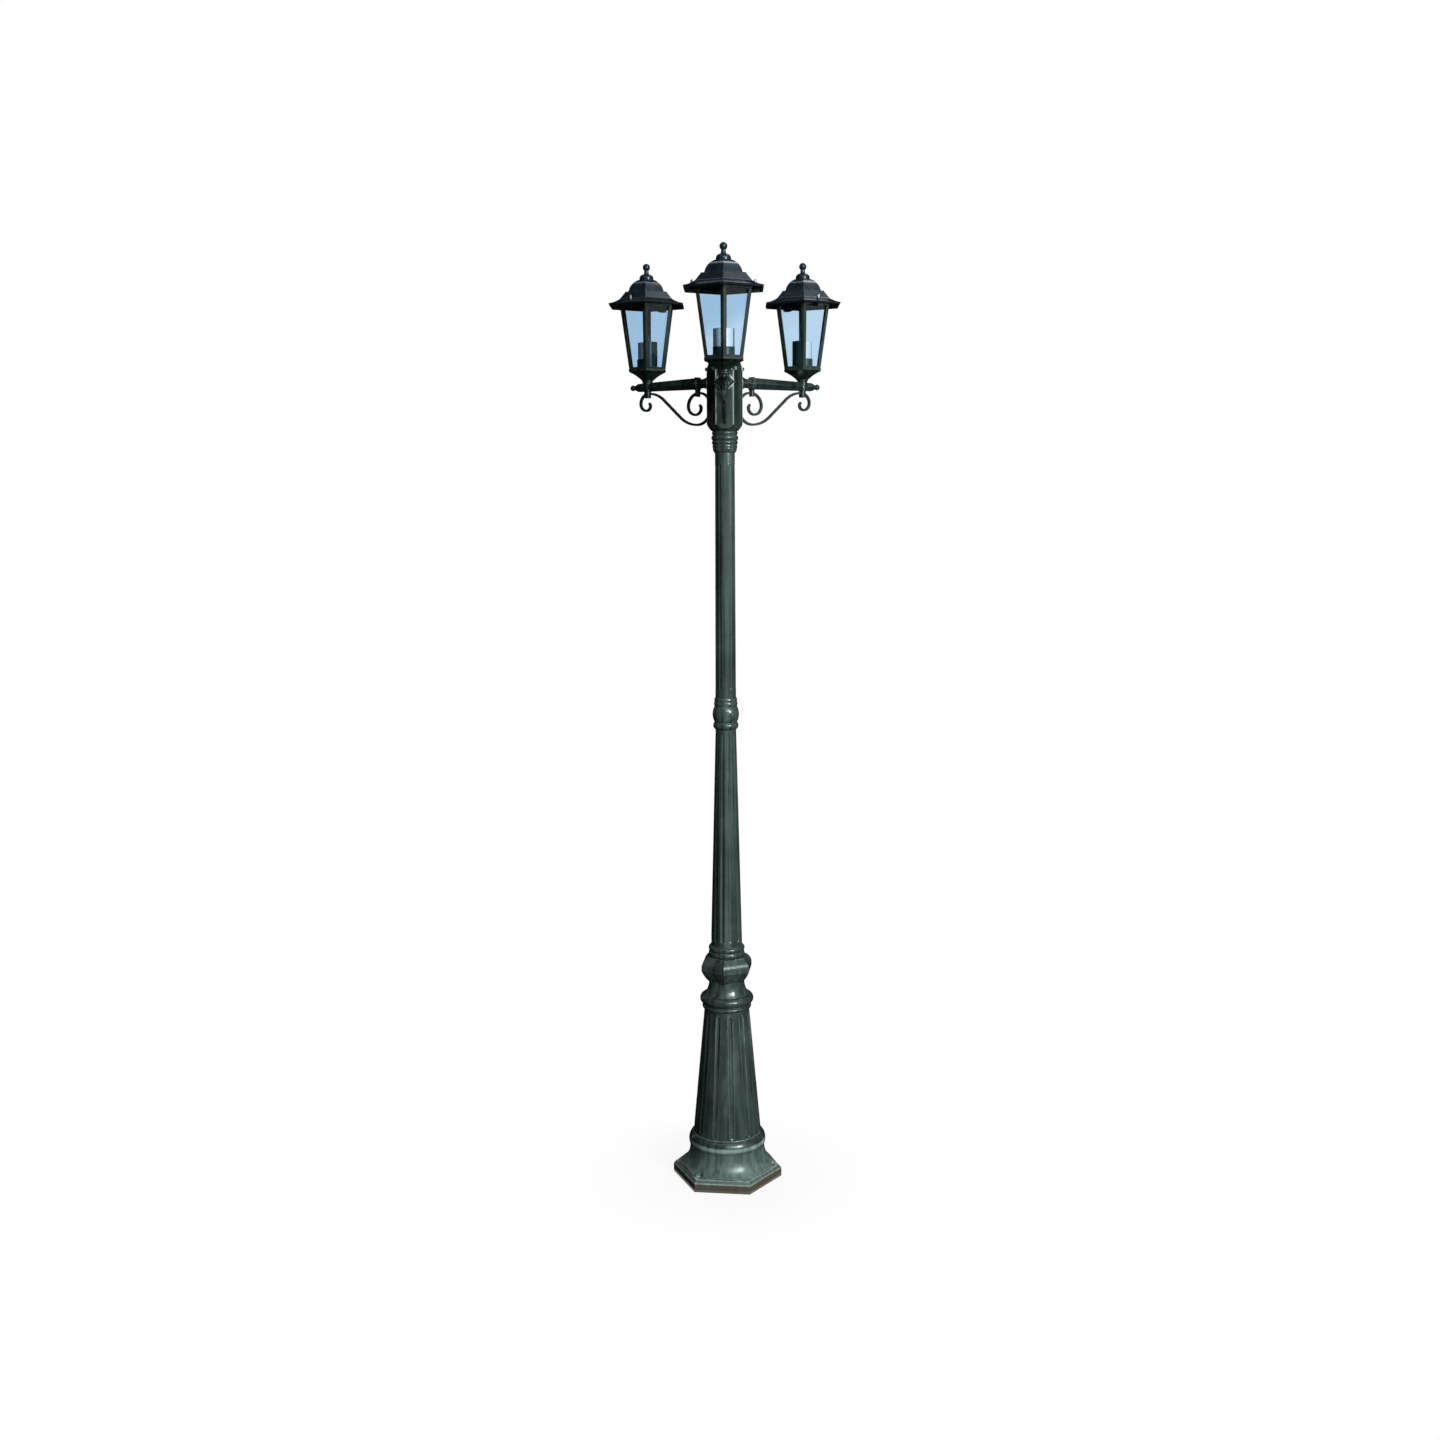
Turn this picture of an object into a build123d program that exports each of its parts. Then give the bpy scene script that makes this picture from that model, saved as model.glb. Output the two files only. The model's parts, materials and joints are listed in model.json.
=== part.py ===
# Triple head lamp post: a garden lamp with three hexagonal lanterns on one fluted post.
# Millimetres, +Z up. The origin is on the post's axis at floor level. The front arm points
# to -Y, the other two stand a third of a turn either side of it.

import os
from math import cos, radians, sin, sqrt, tan

from build123d import *

os.makedirs("parts", exist_ok=True)

# ---------------------------------------------------------------- driving dimensions
total_height = 2150.0           # floor to the tops of the lantern finials
arm_reach = 207.0               # post axis to each lantern axis
arm_turns = {"front": 0.0, "right": 120.0, "left": -120.0}
fit_gap = 0.3                   # clearance of pieces that slot into each other
spigot_length = 22.0            # how far each post section enters the one below
join_depth = 4.0                # how far bodies of one casting run into each other

# foot and pedestal
foot_corner_radius = 131.0      # hexagonal foot, axis to corner
foot_turn = 6.0                 # the foot stands this many degrees off the front arm
foot_rim_height = 20.0
foot_bevel_height = 8.0
foot_bevel_inset = 6.0
bell_top_height = 78.0          # where the bell meets the bead moulding above it
bell_top_radius = 89.0
bell_flare = 35.0               # how far the bell spreads outward at its foot
foot_bead_radius = 25.0         # section radius of the large moulding
foot_bead_reach = 92.0          # axis to its outermost line
cone_base_radius = 80.6
cone_base_height = 113.0
cone_top_radius = 53.1
cone_length = 304.0
cone_flute_count = 12
cone_flute_width = 15.0
cone_flute_depth = 2.6
cone_flute_margin = 8.0         # plain band above the cone's flutes
cone_flute_rise = 3.0           # and below them
low_bead_section = 6.5
low_bead_reach = 58.0
high_bead_section = 11.5
high_bead_reach = 63.3
pedestal_wall = 6.0
foot_ledge = 27.0               # bell's foot to the room inside it
foot_room_height = 14.0         # of the room's slope above the foot
collar_spigot_shoulder = 6.5
anchor_hole_radius = 4.5
anchor_circle_radius = 111.0
anchor_count = 3
anchor_face_height = 20.0       # of the flat cut over each anchor hole

# faceted collar
neck_top_radius = 41.8
neck_base_radius = 51.5
neck_height = 33.0
neck_hollow = 2.6               # how far the neck is waisted
facet_collar_apothem = 56.2
facet_collar_height = 59.0
facet_band_height = 11.0
facet_top_apothem = 41.8
facet_low_apothem = 39.5
facet_low_share = 0.58          # part of the sloping height that lies below the band
facet_low_bulge = 1.6
facet_top_bulge = 2.6

# lower post
lower_post_foot_radius = 36.8
lower_post_top_radius = 23.9
lower_post_length = 515.0
lower_spigot_shoulder = 6.0
foot_ring_height = 27.0
foot_ring_reach = 42.6
foot_ring_depth = 3.0           # the ring's bead stands this far out of its foot
lower_flute_count = 12
lower_flute_share = 0.62        # flute width as a share of the flutes' spacing
lower_flute_depth = 0.17        # flute depth as a share of its width
lower_flute_margin_low = 17.0
lower_flute_margin_high = 12.0
post_wall = 4.5

# middle collar
middle_collar_height = 75.0
middle_bead_height = 17.0
middle_ball_height = 37.0
middle_ring_height = 11.0
middle_ball_reach = 30.6
middle_bead_reach = 29.3
middle_ring_reach = 27.3
middle_groove_depth = 1.4       # of the grooves between its mouldings

# upper post
upper_post_foot_radius = 23.9
upper_post_top_radius = 22.5
upper_spigot_shoulder = 2.2
spigot_wall = 3.2
upper_flute_count = 6
upper_flute_width = 7.6
upper_flute_depth = 1.3
upper_flute_margin_low = 18.0
upper_flute_margin_high = 25.0

# head collar
head_cone_height = 11.0
head_cone_bulge = 1.5
head_collar_reach = 30.6
head_groove_depth = 3.4
head_beads = [(8.0, 28.2), (8.5, 29.6), (12.0, head_collar_reach), (9.5, 29.2)]  # height, reach
collar_lip = 0.4                # collars overhang the post section they meet by this much

# arm hub
hub_corner_radius = 40.6
hub_flare_height = 16.0
hub_flare_bulge = 1.0
hub_height = 117.0              # hexagonal length, flare to flange
hub_flange_height = 7.0
hub_flange_step = 3.5
hub_wall = 4.2
hub_floor = 8.0
cable_way_radius = 10.0
hub_spigot_radius = 18.0
hub_spigot_length = 18.0
hub_cap_height = 20.0
hub_cap_margin = 1.6            # hub's corner to the cap's
cap_edge_height = 10.0
cap_seat_height = 3.0           # hub's top to the seats of the screw heads
cap_lip_depth = 3.0
cap_lip_width = 8.0
cap_bulge = 2.6
cap_screw_inset = 5.6           # hub's corner to the cap screw
cap_screw_radius = 2.0
cap_screw_head_radius = 3.6
cap_screw_head_height = 2.4
cap_screw_length = 21.0
screw_pillar_height = 26.0
screw_pillar_radius = 5.0
screw_pillar_floor = 5.0        # left below the threaded hole
terminal_pitch = 8.0
terminal_count = 3
terminal_deep = 11.0
terminal_tall = 18.0

# arms: hexagonal bars, flat side down
arm_root = 74.0                 # axis to the flange where the arm butts its boss
arm_root_flat = 25.0            # height of the bar there
arm_tip_flat = 18.0
arm_tip = 231.0                 # axis to the end of the tapered bar
boss_flange_flat = 28.6         # flats of the boss flange on the hub
boss_waist_flat = 19.5
boss_root_flat = 42.0
boss_waist_reach = 57.0
boss_flange_length = 6.0
boss_flange_lip = 1.0
arm_drop = 33.0                 # hub's top to the middle of the arm's root
tenon_radius = 6.5
tenon_length = 22.0
wire_way_radius = 4.0
tip_ball_radius = 6.5
tip_ball_reach = 247.0
tip_neck_radius = 3.4
tip_cone_radius = 8.6
tip_cone_hollow = 1.2
stem_lip = 0.5                  # bosses stand this far round what they carry

# scroll under each arm
scroll_thick = 5.2
scroll_wide = 6.4
scroll_drop = 5.1               # arm's underside to the middle of the bar's outer crown
scroll_inner_drop = 8.1         # and to the middle of its inner crown
scroll_fall = 79.1              # and to the middle of its lowest bend
scroll_crown_back = 4.2         # outer crown to the lantern's axis
scroll_straight = 61.5          # length of the long straight run
scroll_rise_share = 0.53        # share of the two bends beside that run that the lower one takes
scroll_foot_radius = 34.0
inner_crown_radius = 28.5
inner_curl_radii = (29.5, 19.0, 15.0)
outer_curl_radii = (23.0, 15.5, 11.0)
inner_end_radius = 7.0
outer_end_radius = 6.0
curl_end_turn = 65.0            # degrees of the last small bend of each curl
clip_radius = 8.0
clip_height = 15.0
inner_clip_radius = 6.2
inner_clip_height = 14.5
inner_clip_reach = 71.0

# lantern
tray_height_over_arm = 25.5     # arm's top to the tray's underside
tray_lip = 1.0                  # the tray's corner stands this far out of the cage's foot
tray_band_height = 5.0
tray_stem_radius = 11.0
tray_funnel_height = 20.0
funnel_top_apothem = 40.2
funnel_foot_radius = 12.5
funnel_hollow = 1.4
tray_waist_drop = 4.0           # from the funnel's foot to the stem's waist
tray_waist_bulge = 0.8
cage_height = 143.0
cage_foot_corner_radius = 47.0
cage_top_corner_radius = 68.8
cage_wall = 3.0
bar_width = 7.0                 # each leaf of a corner bar
cage_ring_height = 4.0
cage_rise = 2.0                 # how far the cage stands up into the roof
pane_thick = 3.0
pane_margin = 0.8               # between the edges of neighbouring panes, each side
pane_top_drop = 2.0
ear_length = 18.0
ear_width = 12.0
ear_height = 5.0

# lamp holder and its cup
cup_radius = 23.4
cup_wall = 1.6
cup_floor = 2.0
cup_low_height = 22.5
cup_sleeve_height = 62.0
cup_sleeve_arc = 150.0          # degrees of the cup that the tall sleeve takes
holder_gap = 0.5                # between the holder and its cup
holder_height = 59.0
holder_edge = 1.5
holder_socket_depth = 28.0
holder_wire_hole = 2.5
lamp_thread_radius = 13.3       # the 27 mm screw of the lamp
shell_wall = 0.8
shell_length = 22.0
contact_radius = 4.0
contact_height = 2.5
nipple_radius = 5.0
nipple_wall = 1.3
nipple_rise = 9.0               # how far the nipple stands into the lamp holder

# roof
brim_overhang = 28.8            # of the brim's corner over the cage's
brim_edge_height = 4.0
brim_edge_inset = 1.5
roof_wall = 3.0
flare_inset = 0.3               # of the flare's corner within the cage's
flare_height = 11.0
step_corner_radius = 55.2
step_height = 16.5
dome_corner_radius = 46.7
dome_height = 29.0
dome_top_radius = 15.0
finial_cap_radius = 15.9
finial_cap_height = 12.5
finial_cap_edge = 1.0           # upright edge at the cap's foot
finial_neck_radius = 5.2
finial_neck_flare = 1.2         # the neck widens by this much towards the cap
finial_neck_hollow = 0.5
finial_neck_height = 8.0
finial_ball_radius = 8.4
finial_ball_sink = 1.0          # how far it sits down on its neck
roof_screw_offset = 7.42        # cage's top to the roof screws beside it
roof_screw_radius = 2.9
roof_screw_height = 9.0
roof_screw_shank = 2.0
roof_post_radius = 4.4
pad_drop = 2.8                  # from the top of the flare to the pads of the screw heads
flare_sag = 1.6
step_lip = 1.8
step_lip_inset = 0.3
dome_bulge = 5.5
finial_cap_bulge = 3.6

# ---------------------------------------------------------------- heights worked out
flat_share = cos(radians(30))   # apothem of a hexagon over its corner radius

hub_cap_corner_radius = hub_corner_radius - hub_cap_margin
cap_screw_circle = hub_corner_radius - cap_screw_inset
tray_corner_radius = cage_foot_corner_radius + tray_lip
holder_radius = cup_radius - cup_wall - holder_gap
brim_corner_radius = cage_top_corner_radius + brim_overhang
flare_corner_radius = cage_top_corner_radius - flare_inset
roof_screw_circle = cage_top_corner_radius * flat_share + roof_screw_offset

cone_top = cone_base_height + cone_length
pedestal_top = cone_top + 2 * low_bead_section + 2 * high_bead_section
neck_top = pedestal_top + neck_height
facet_collar_top = neck_top + facet_collar_height
lower_post_top = facet_collar_top + foot_ring_height + lower_post_length
middle_collar_top = lower_post_top + middle_collar_height

finial_height = finial_cap_height + finial_neck_height + 2 * finial_ball_radius - finial_ball_sink
roof_height = brim_edge_height + flare_height + step_height + dome_height + finial_height
cage_top = total_height - roof_height + cage_rise
cage_foot = cage_top - cage_height
tray_under = cage_foot - tray_band_height
arm_top = tray_under - tray_height_over_arm


def arm_flat(reach):
    # height of the tapered bar at this distance from the post's axis
    share = (reach - arm_root) / (arm_tip - arm_root)
    return arm_root_flat + share * (arm_tip_flat - arm_root_flat)


arm_under = arm_top - arm_flat(arm_reach)
arm_root_level = arm_under + arm_root_flat / 2
arm_tip_level = arm_under + arm_tip_flat / 2
hub_top = arm_root_level + arm_drop
flange_under = hub_top - hub_flange_height
hub_foot = flange_under - hub_height
head_collar_top = hub_foot - hub_flare_height
head_collar_foot = head_collar_top - head_cone_height - sum(height for height, reach in head_beads)
hub_apothem = hub_corner_radius * flat_share
hub_room_apothem = hub_apothem - hub_wall
brim_under = total_height - roof_height
ear_top = brim_under - fit_gap
ear_root = cage_top_corner_radius * flat_share - cage_wall

# radii of the spigots and the bores that take them
collar_spigot_radius = cone_top_radius - pedestal_wall - collar_spigot_shoulder
lower_spigot_radius = lower_post_foot_radius - lower_spigot_shoulder
middle_spigot_radius = lower_post_top_radius - post_wall - fit_gap
upper_spigot_radius = middle_spigot_radius - upper_spigot_shoulder
head_spigot_radius = upper_post_top_radius - post_wall - fit_gap
inner_way_radius = upper_spigot_radius - spigot_wall

arm_plane = Plane(origin=(0, 0, 0), x_dir=(0, -1, 0), z_dir=(-1, 0, 0))


# ---------------------------------------------------------------- shared shapes
def hexagonal_body(outline, reach):
    # The outline is a section across two flats. Three of them, a sixth of a turn apart,
    # leave a hexagonal body with clean creases at its corners, the first of them towards +X.
    with BuildPart() as body:
        for turn in (30, 90, 150):
            with BuildSketch(Plane.XZ.rotated((0, 0, turn))):
                add(outline)
            extrude(amount=reach, both=True, mode=Mode.ADD if turn == 30 else Mode.INTERSECT)
    return body.part


def groove_radius(width, depth):
    # radius of a round groove of this width and depth
    return (width**2 / 4 + depth**2) / (2 * depth)


def flute_cutter(low, high, low_width, high_width, low_depth, high_depth):
    # A round-ended groove along a straight taper. low and high are (radius, height) on it.
    low_section = groove_radius(low_width, low_depth)
    high_section = groove_radius(high_width, high_depth)
    low_end = Vector(low[0] - low_depth + low_section, 0, low[1])
    high_end = Vector(high[0] - high_depth + high_section, 0, high[1])
    along = high_end - low_end
    with BuildPart() as cutter:
        with BuildSketch(Plane(low_end, x_dir=along, z_dir=(0, 1, 0))):
            with BuildLine():
                Polyline(
                    (0, 0),
                    (along.length, 0),
                    (along.length, high_section),
                    (0, low_section),
                    close=True,
                )
            make_face()
        revolve(axis=Axis(low_end, along))
        for end, section in ((low_end, low_section), (high_end, high_section)):
            with Locations(end):
                Sphere(section)
    return cutter.part


def bead_points(start, height, reach):
    # start, crown and end of one half-round moulding that begins and ends at the same radius
    radius, foot = start
    return (radius, foot), (reach, foot + height / 2), (radius, foot + height)


# ---------------------------------------------------------------- pedestal
foot_apothem = foot_corner_radius * flat_share
bell_foot_height = foot_rim_height + foot_bevel_height
bell_foot_radius = bell_top_radius + bell_flare
foot_bead_centre = foot_bead_reach - foot_bead_radius
bead_rise = sqrt(foot_bead_radius**2 - (cone_base_radius - foot_bead_centre) ** 2)
bead_fall = sqrt(foot_bead_radius**2 - (bell_top_radius - foot_bead_centre) ** 2)
foot_bead_level = cone_base_height - bead_rise
foot_room_radius = bell_foot_radius - foot_ledge
bell_reach = foot_corner_radius + bell_flare

with BuildSketch() as foot_outline:
    with BuildLine():
        Polyline(
            (0, 0),
            (foot_apothem, 0),
            (foot_apothem, foot_rim_height),
            (foot_apothem - foot_bevel_inset, bell_foot_height),
            (foot_apothem - foot_bevel_inset, bell_top_height),
            (0, bell_top_height),
            close=True,
        )
    make_face()
    mirror(about=Plane.YZ)

with BuildPart() as pedestal:
    # bell: a cavetto that spreads over the hexagonal foot
    with BuildSketch(Plane.XZ):
        with BuildLine():
            flare = EllipticalCenterArc(
                (bell_foot_radius, bell_top_height),
                bell_flare,
                bell_top_height - bell_foot_height,
                start_angle=180,
                arc_size=90,
            )
            Polyline(
                flare @ 1,
                (bell_reach, bell_foot_height),
                (bell_reach, 0),
                (0, 0),
                (0, bell_top_height),
                flare @ 0,
            )
        make_face()
    revolve(axis=Axis.Z)
    add(
        hexagonal_body(foot_outline.sketch, foot_corner_radius),
        rotation=(0, 0, -foot_turn),
        mode=Mode.INTERSECT,
    )
    # large bead, cone and the double moulding on top
    with BuildSketch(Plane.XZ):
        with BuildLine():
            Line(
                (bell_top_radius, bell_top_height - join_depth),
                (bell_top_radius, foot_bead_level - bead_fall),
            )
            ThreePointArc(
                (bell_top_radius, foot_bead_level - bead_fall),
                (foot_bead_reach, foot_bead_level),
                (cone_base_radius, cone_base_height),
            )
            Line((cone_base_radius, cone_base_height), (cone_top_radius, cone_top))
            Line((cone_top_radius, cone_top), (neck_base_radius, cone_top))
            low_bead = bead_points((neck_base_radius, cone_top), 2 * low_bead_section, low_bead_reach)
            high_bead = bead_points(low_bead[2], 2 * high_bead_section, high_bead_reach)
            ThreePointArc(*low_bead)
            ThreePointArc(*high_bead)
            Polyline(
                high_bead[2],
                (0, pedestal_top),
                (0, bell_top_height - join_depth),
                (bell_top_radius, bell_top_height - join_depth),
            )
        make_face()
    revolve(axis=Axis.Z)
    # flutes down the cone
    cone_flute = flute_cutter(
        (cone_base_radius, cone_base_height + cone_flute_rise + cone_flute_width / 2),
        (cone_top_radius, cone_top - cone_flute_margin - cone_flute_width / 3),
        cone_flute_width,
        cone_flute_width * cone_top_radius / cone_base_radius,
        cone_flute_depth,
        cone_flute_depth * cone_top_radius / cone_base_radius,
    )
    with PolarLocations(0, cone_flute_count, start_angle=180 / cone_flute_count - foot_turn):
        add(cone_flute, mode=Mode.SUBTRACT)
    # hollow inside, open below, with a bore for the collar's spigot
    with BuildSketch(Plane.XZ):
        with BuildLine():
            Polyline(
                (0, -1),
                (foot_room_radius, -1),
                (foot_room_radius, foot_rim_height - 2),
                (bell_top_radius - pedestal_wall, bell_foot_height + foot_room_height),
                (bell_top_radius - pedestal_wall, foot_bead_level),
                (cone_base_radius - pedestal_wall, cone_base_height),
                (cone_top_radius - pedestal_wall, cone_top),
                (collar_spigot_radius + fit_gap, cone_top + 6),
                (collar_spigot_radius + fit_gap, pedestal_top + 1),
                (0, pedestal_top + 1),
                close=True,
            )
        make_face()
    revolve(axis=Axis.Z, mode=Mode.SUBTRACT)
    # anchor holes with spot faces near three of the six corners
    with PolarLocations(anchor_circle_radius, anchor_count, start_angle=-foot_turn):
        Hole(anchor_hole_radius)
    with BuildSketch(Plane.XY.offset(bell_foot_height)):
        with PolarLocations(anchor_circle_radius, anchor_count, start_angle=-foot_turn):
            Circle(2 * anchor_hole_radius)
    extrude(amount=anchor_face_height, mode=Mode.SUBTRACT)
pedestal.part.label = "pedestal"
export_step(pedestal.part, "parts/pedestal.step")

# ---------------------------------------------------------------- faceted collar
facet_slope_height = facet_collar_height - facet_band_height
facet_low_slope = facet_low_share * facet_slope_height
facet_band_foot = neck_top + facet_low_slope
facet_band_top = facet_band_foot + facet_band_height

with BuildSketch() as facet_outline:
    with BuildLine():
        Polyline((0, facet_collar_top), (0, neck_top), (facet_low_apothem, neck_top))
        SagittaArc(
            (facet_low_apothem, neck_top),
            (facet_collar_apothem, facet_band_foot),
            sagitta=-facet_low_bulge,
        )
        Line((facet_collar_apothem, facet_band_foot), (facet_collar_apothem, facet_band_top))
        SagittaArc(
            (facet_collar_apothem, facet_band_top),
            (facet_top_apothem, facet_collar_top),
            sagitta=-facet_top_bulge,
        )
        Line((facet_top_apothem, facet_collar_top), (0, facet_collar_top))
    make_face()
    mirror(about=Plane.YZ)

with BuildPart() as faceted_collar:
    add(hexagonal_body(facet_outline.sketch, 2 * facet_collar_apothem), rotation=(0, 0, 30 - foot_turn))
    # waisted neck, and the spigot that enters the pedestal
    with BuildSketch(Plane.XZ):
        with BuildLine():
            Polyline(
                (neck_top_radius, neck_top),
                (neck_top_radius, neck_top + join_depth),
                (0, neck_top + join_depth),
                (0, pedestal_top - spigot_length),
                (collar_spigot_radius, pedestal_top - spigot_length),
                (collar_spigot_radius, pedestal_top),
                (neck_base_radius, pedestal_top),
            )
            SagittaArc((neck_base_radius, pedestal_top), (neck_top_radius, neck_top), sagitta=neck_hollow)
        make_face()
    revolve(axis=Axis.Z)
    # socket for the lower post, and the cable way below it
    with BuildSketch(Plane.XY.offset(facet_collar_top)):
        Circle(lower_spigot_radius + fit_gap)
    extrude(amount=-spigot_length - 2, mode=Mode.SUBTRACT)
    with Locations((0, 0, neck_top)):
        Hole(lower_spigot_radius - post_wall)
faceted_collar.part.label = "faceted_collar"
export_step(faceted_collar.part, "parts/faceted_collar.step")

# ---------------------------------------------------------------- lower post
foot_ring_top = facet_collar_top + foot_ring_height
lower_flute_pitch = 360 / lower_flute_count


def lower_post_radius(height):
    # outer radius of the taper at this height
    share = (height - foot_ring_top) / lower_post_length
    return lower_post_foot_radius + share * (lower_post_top_radius - lower_post_foot_radius)


def lower_flute_width(height):
    return lower_flute_share * lower_post_radius(height) * radians(lower_flute_pitch)


with BuildPart() as lower_post:
    ring_foot_radius = foot_ring_reach - foot_ring_depth
    with BuildSketch(Plane.XZ):
        with BuildLine():
            Polyline(
                (ring_foot_radius, facet_collar_top),
                (lower_spigot_radius, facet_collar_top),
                (lower_spigot_radius, facet_collar_top - spigot_length),
                (0, facet_collar_top - spigot_length),
                (0, lower_post_top),
                (lower_post_top_radius, lower_post_top),
                (lower_post_foot_radius, foot_ring_top),
            )
            ring_start = ring_foot_radius, facet_collar_top
            foot_bead = bead_points(ring_start, foot_ring_height / 2, foot_ring_reach)
            ThreePointArc(*foot_bead)
            ThreePointArc(
                foot_bead[2],
                (foot_ring_reach, facet_collar_top + 0.75 * foot_ring_height),
                (lower_post_foot_radius, foot_ring_top),
            )
        make_face()
    revolve(axis=Axis.Z)
    lowest_flute = foot_ring_top + lower_flute_margin_low
    highest_flute = lower_post_top - lower_flute_margin_high
    flute_ends = [(lower_post_radius(z), z) for z in (lowest_flute, highest_flute)]
    flute_widths = [lower_flute_width(z) for z in (lowest_flute, highest_flute)]
    flute_depths = [lower_flute_depth * width for width in flute_widths]
    lower_flute = flute_cutter(*flute_ends, *flute_widths, *flute_depths)
    with PolarLocations(0, lower_flute_count, start_angle=lower_flute_pitch / 2):
        add(lower_flute, mode=Mode.SUBTRACT)
    # tapered bore, straight in the spigot and at the top where the middle collar plugs in
    with BuildSketch(Plane.XZ):
        with BuildLine():
            Polyline(
                (0, facet_collar_top - spigot_length - 1),
                (lower_spigot_radius - post_wall, facet_collar_top - spigot_length - 1),
                (lower_spigot_radius - post_wall, foot_ring_top),
                (middle_spigot_radius + fit_gap, lower_post_top - spigot_length - 2),
                (middle_spigot_radius + fit_gap, lower_post_top + 1),
                (0, lower_post_top + 1),
                close=True,
            )
        make_face()
    revolve(axis=Axis.Z, mode=Mode.SUBTRACT)
lower_post.part.label = "lower_post"
export_step(lower_post.part, "parts/lower_post.step")

# ---------------------------------------------------------------- middle collar
middle_ball_foot = lower_post_top + middle_bead_height
middle_ball_top = middle_ball_foot + middle_ball_height
middle_ring_top = middle_ball_top + middle_ring_height
middle_groove_radius = middle_ring_reach - middle_groove_depth

with BuildPart() as middle_collar:
    with BuildSketch(Plane.XZ):
        with BuildLine():
            Polyline(
                (lower_post_top_radius + collar_lip, lower_post_top),
                (middle_spigot_radius, lower_post_top),
                (middle_spigot_radius, lower_post_top - spigot_length),
                (0, lower_post_top - spigot_length),
                (0, middle_collar_top),
                (upper_post_foot_radius + collar_lip, middle_collar_top),
            )
            ThreePointArc(
                (lower_post_top_radius + collar_lip, lower_post_top),
                (middle_bead_reach, lower_post_top + middle_bead_height / 2),
                (middle_groove_radius, middle_ball_foot),
            )
            ThreePointArc(
                (middle_groove_radius, middle_ball_foot),
                (middle_ball_reach, (middle_ball_foot + middle_ball_top) / 2),
                (middle_groove_radius, middle_ball_top),
            )
            ring_foot = middle_groove_radius, middle_ball_top
            ThreePointArc(*bead_points(ring_foot, middle_ring_height, middle_ring_reach))
            ThreePointArc(
                (middle_groove_radius, middle_ring_top),
                (middle_groove_radius + collar_lip, (middle_ring_top + middle_collar_top) / 2),
                (upper_post_foot_radius + collar_lip, middle_collar_top),
            )
        make_face()
    revolve(axis=Axis.Z)
    with BuildSketch(Plane.XY.offset(middle_collar_top)):
        Circle(upper_spigot_radius + fit_gap)
    extrude(amount=-spigot_length - 2, mode=Mode.SUBTRACT)
    with Locations((0, 0, lower_post_top)):
        Hole(inner_way_radius)
middle_collar.part.label = "middle_collar"
export_step(middle_collar.part, "parts/middle_collar.step")

# ---------------------------------------------------------------- upper post
with BuildPart() as upper_post:
    with BuildSketch(Plane.XZ):
        with BuildLine():
            Polyline(
                (inner_way_radius, middle_collar_top - spigot_length),
                (upper_spigot_radius, middle_collar_top - spigot_length),
                (upper_spigot_radius, middle_collar_top),
                (upper_post_foot_radius, middle_collar_top),
                (upper_post_top_radius, head_collar_foot),
                (head_spigot_radius + fit_gap, head_collar_foot),
                (head_spigot_radius + fit_gap, middle_collar_top + 2 * join_depth),
                (inner_way_radius, middle_collar_top + join_depth),
                close=True,
            )
        make_face()
    revolve(axis=Axis.Z)
    flute_half = upper_flute_width / 2
    upper_flute = flute_cutter(
        (upper_post_foot_radius, middle_collar_top + upper_flute_margin_low + flute_half),
        (upper_post_top_radius, head_collar_foot - upper_flute_margin_high - flute_half),
        upper_flute_width,
        upper_flute_width,
        upper_flute_depth,
        upper_flute_depth,
    )
    with PolarLocations(0, upper_flute_count):
        add(upper_flute, mode=Mode.SUBTRACT)
upper_post.part.label = "upper_post"
export_step(upper_post.part, "parts/upper_post.step")

# ---------------------------------------------------------------- head collar
head_bead_root = head_collar_reach - head_groove_depth

with BuildPart() as head_collar:
    with BuildSketch(Plane.XZ):
        with BuildLine():
            SagittaArc(
                (upper_post_top_radius + collar_lip, head_collar_foot),
                (head_bead_root, head_collar_foot + head_cone_height),
                sagitta=-head_cone_bulge,
            )
            bead_foot = head_collar_foot + head_cone_height
            for height, reach in head_beads:
                bead = bead_points((head_bead_root, bead_foot), height, reach)
                ThreePointArc(*bead)
                bead_foot += height
            Polyline(
                (head_bead_root, bead_foot),
                (hub_spigot_radius, bead_foot),
                (hub_spigot_radius, bead_foot + hub_spigot_length),
                (inner_way_radius, bead_foot + hub_spigot_length),
                (inner_way_radius, head_collar_foot - spigot_length),
                (head_spigot_radius, head_collar_foot - spigot_length),
                (head_spigot_radius, head_collar_foot),
                (upper_post_top_radius + collar_lip, head_collar_foot),
            )
        make_face()
    revolve(axis=Axis.Z)
head_collar.part.label = "head_collar"
export_step(head_collar.part, "parts/head_collar.step")

# ---------------------------------------------------------------- arm hub
hub_room_floor = head_collar_top + hub_spigot_length + fit_gap + hub_floor
boss_neck = boss_waist_flat / 2, boss_waist_reach
boss_spread = boss_root_flat / 2, hub_apothem
hub_flare_foot = head_collar_reach - stem_lip
hub_turned_radius = hub_corner_radius + stem_lip

with BuildSketch() as boss_outline:
    # section of a boss along its own axis, which stands upright here
    with BuildLine():
        Polyline(
            boss_spread,
            (boss_root_flat / 2, hub_apothem - hub_wall / 2),
            (0, hub_apothem - hub_wall / 2),
            (0, arm_root),
            (boss_flange_flat / 2, arm_root),
            (boss_flange_flat / 2, arm_root - boss_flange_length),
            (boss_waist_flat / 2 + boss_flange_lip, arm_root - boss_flange_length),
            boss_neck,
        )
        TangentArc(boss_neck, boss_spread, tangent=(0, -1))
    make_face()
    mirror(about=Plane.YZ)


def outward(turn):
    # level direction in which the arm at this turn points
    return Vector(sin(radians(turn)), -cos(radians(turn)), 0)


def sideways(turn):
    return Vector(cos(radians(turn)), sin(radians(turn)), 0)


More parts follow.
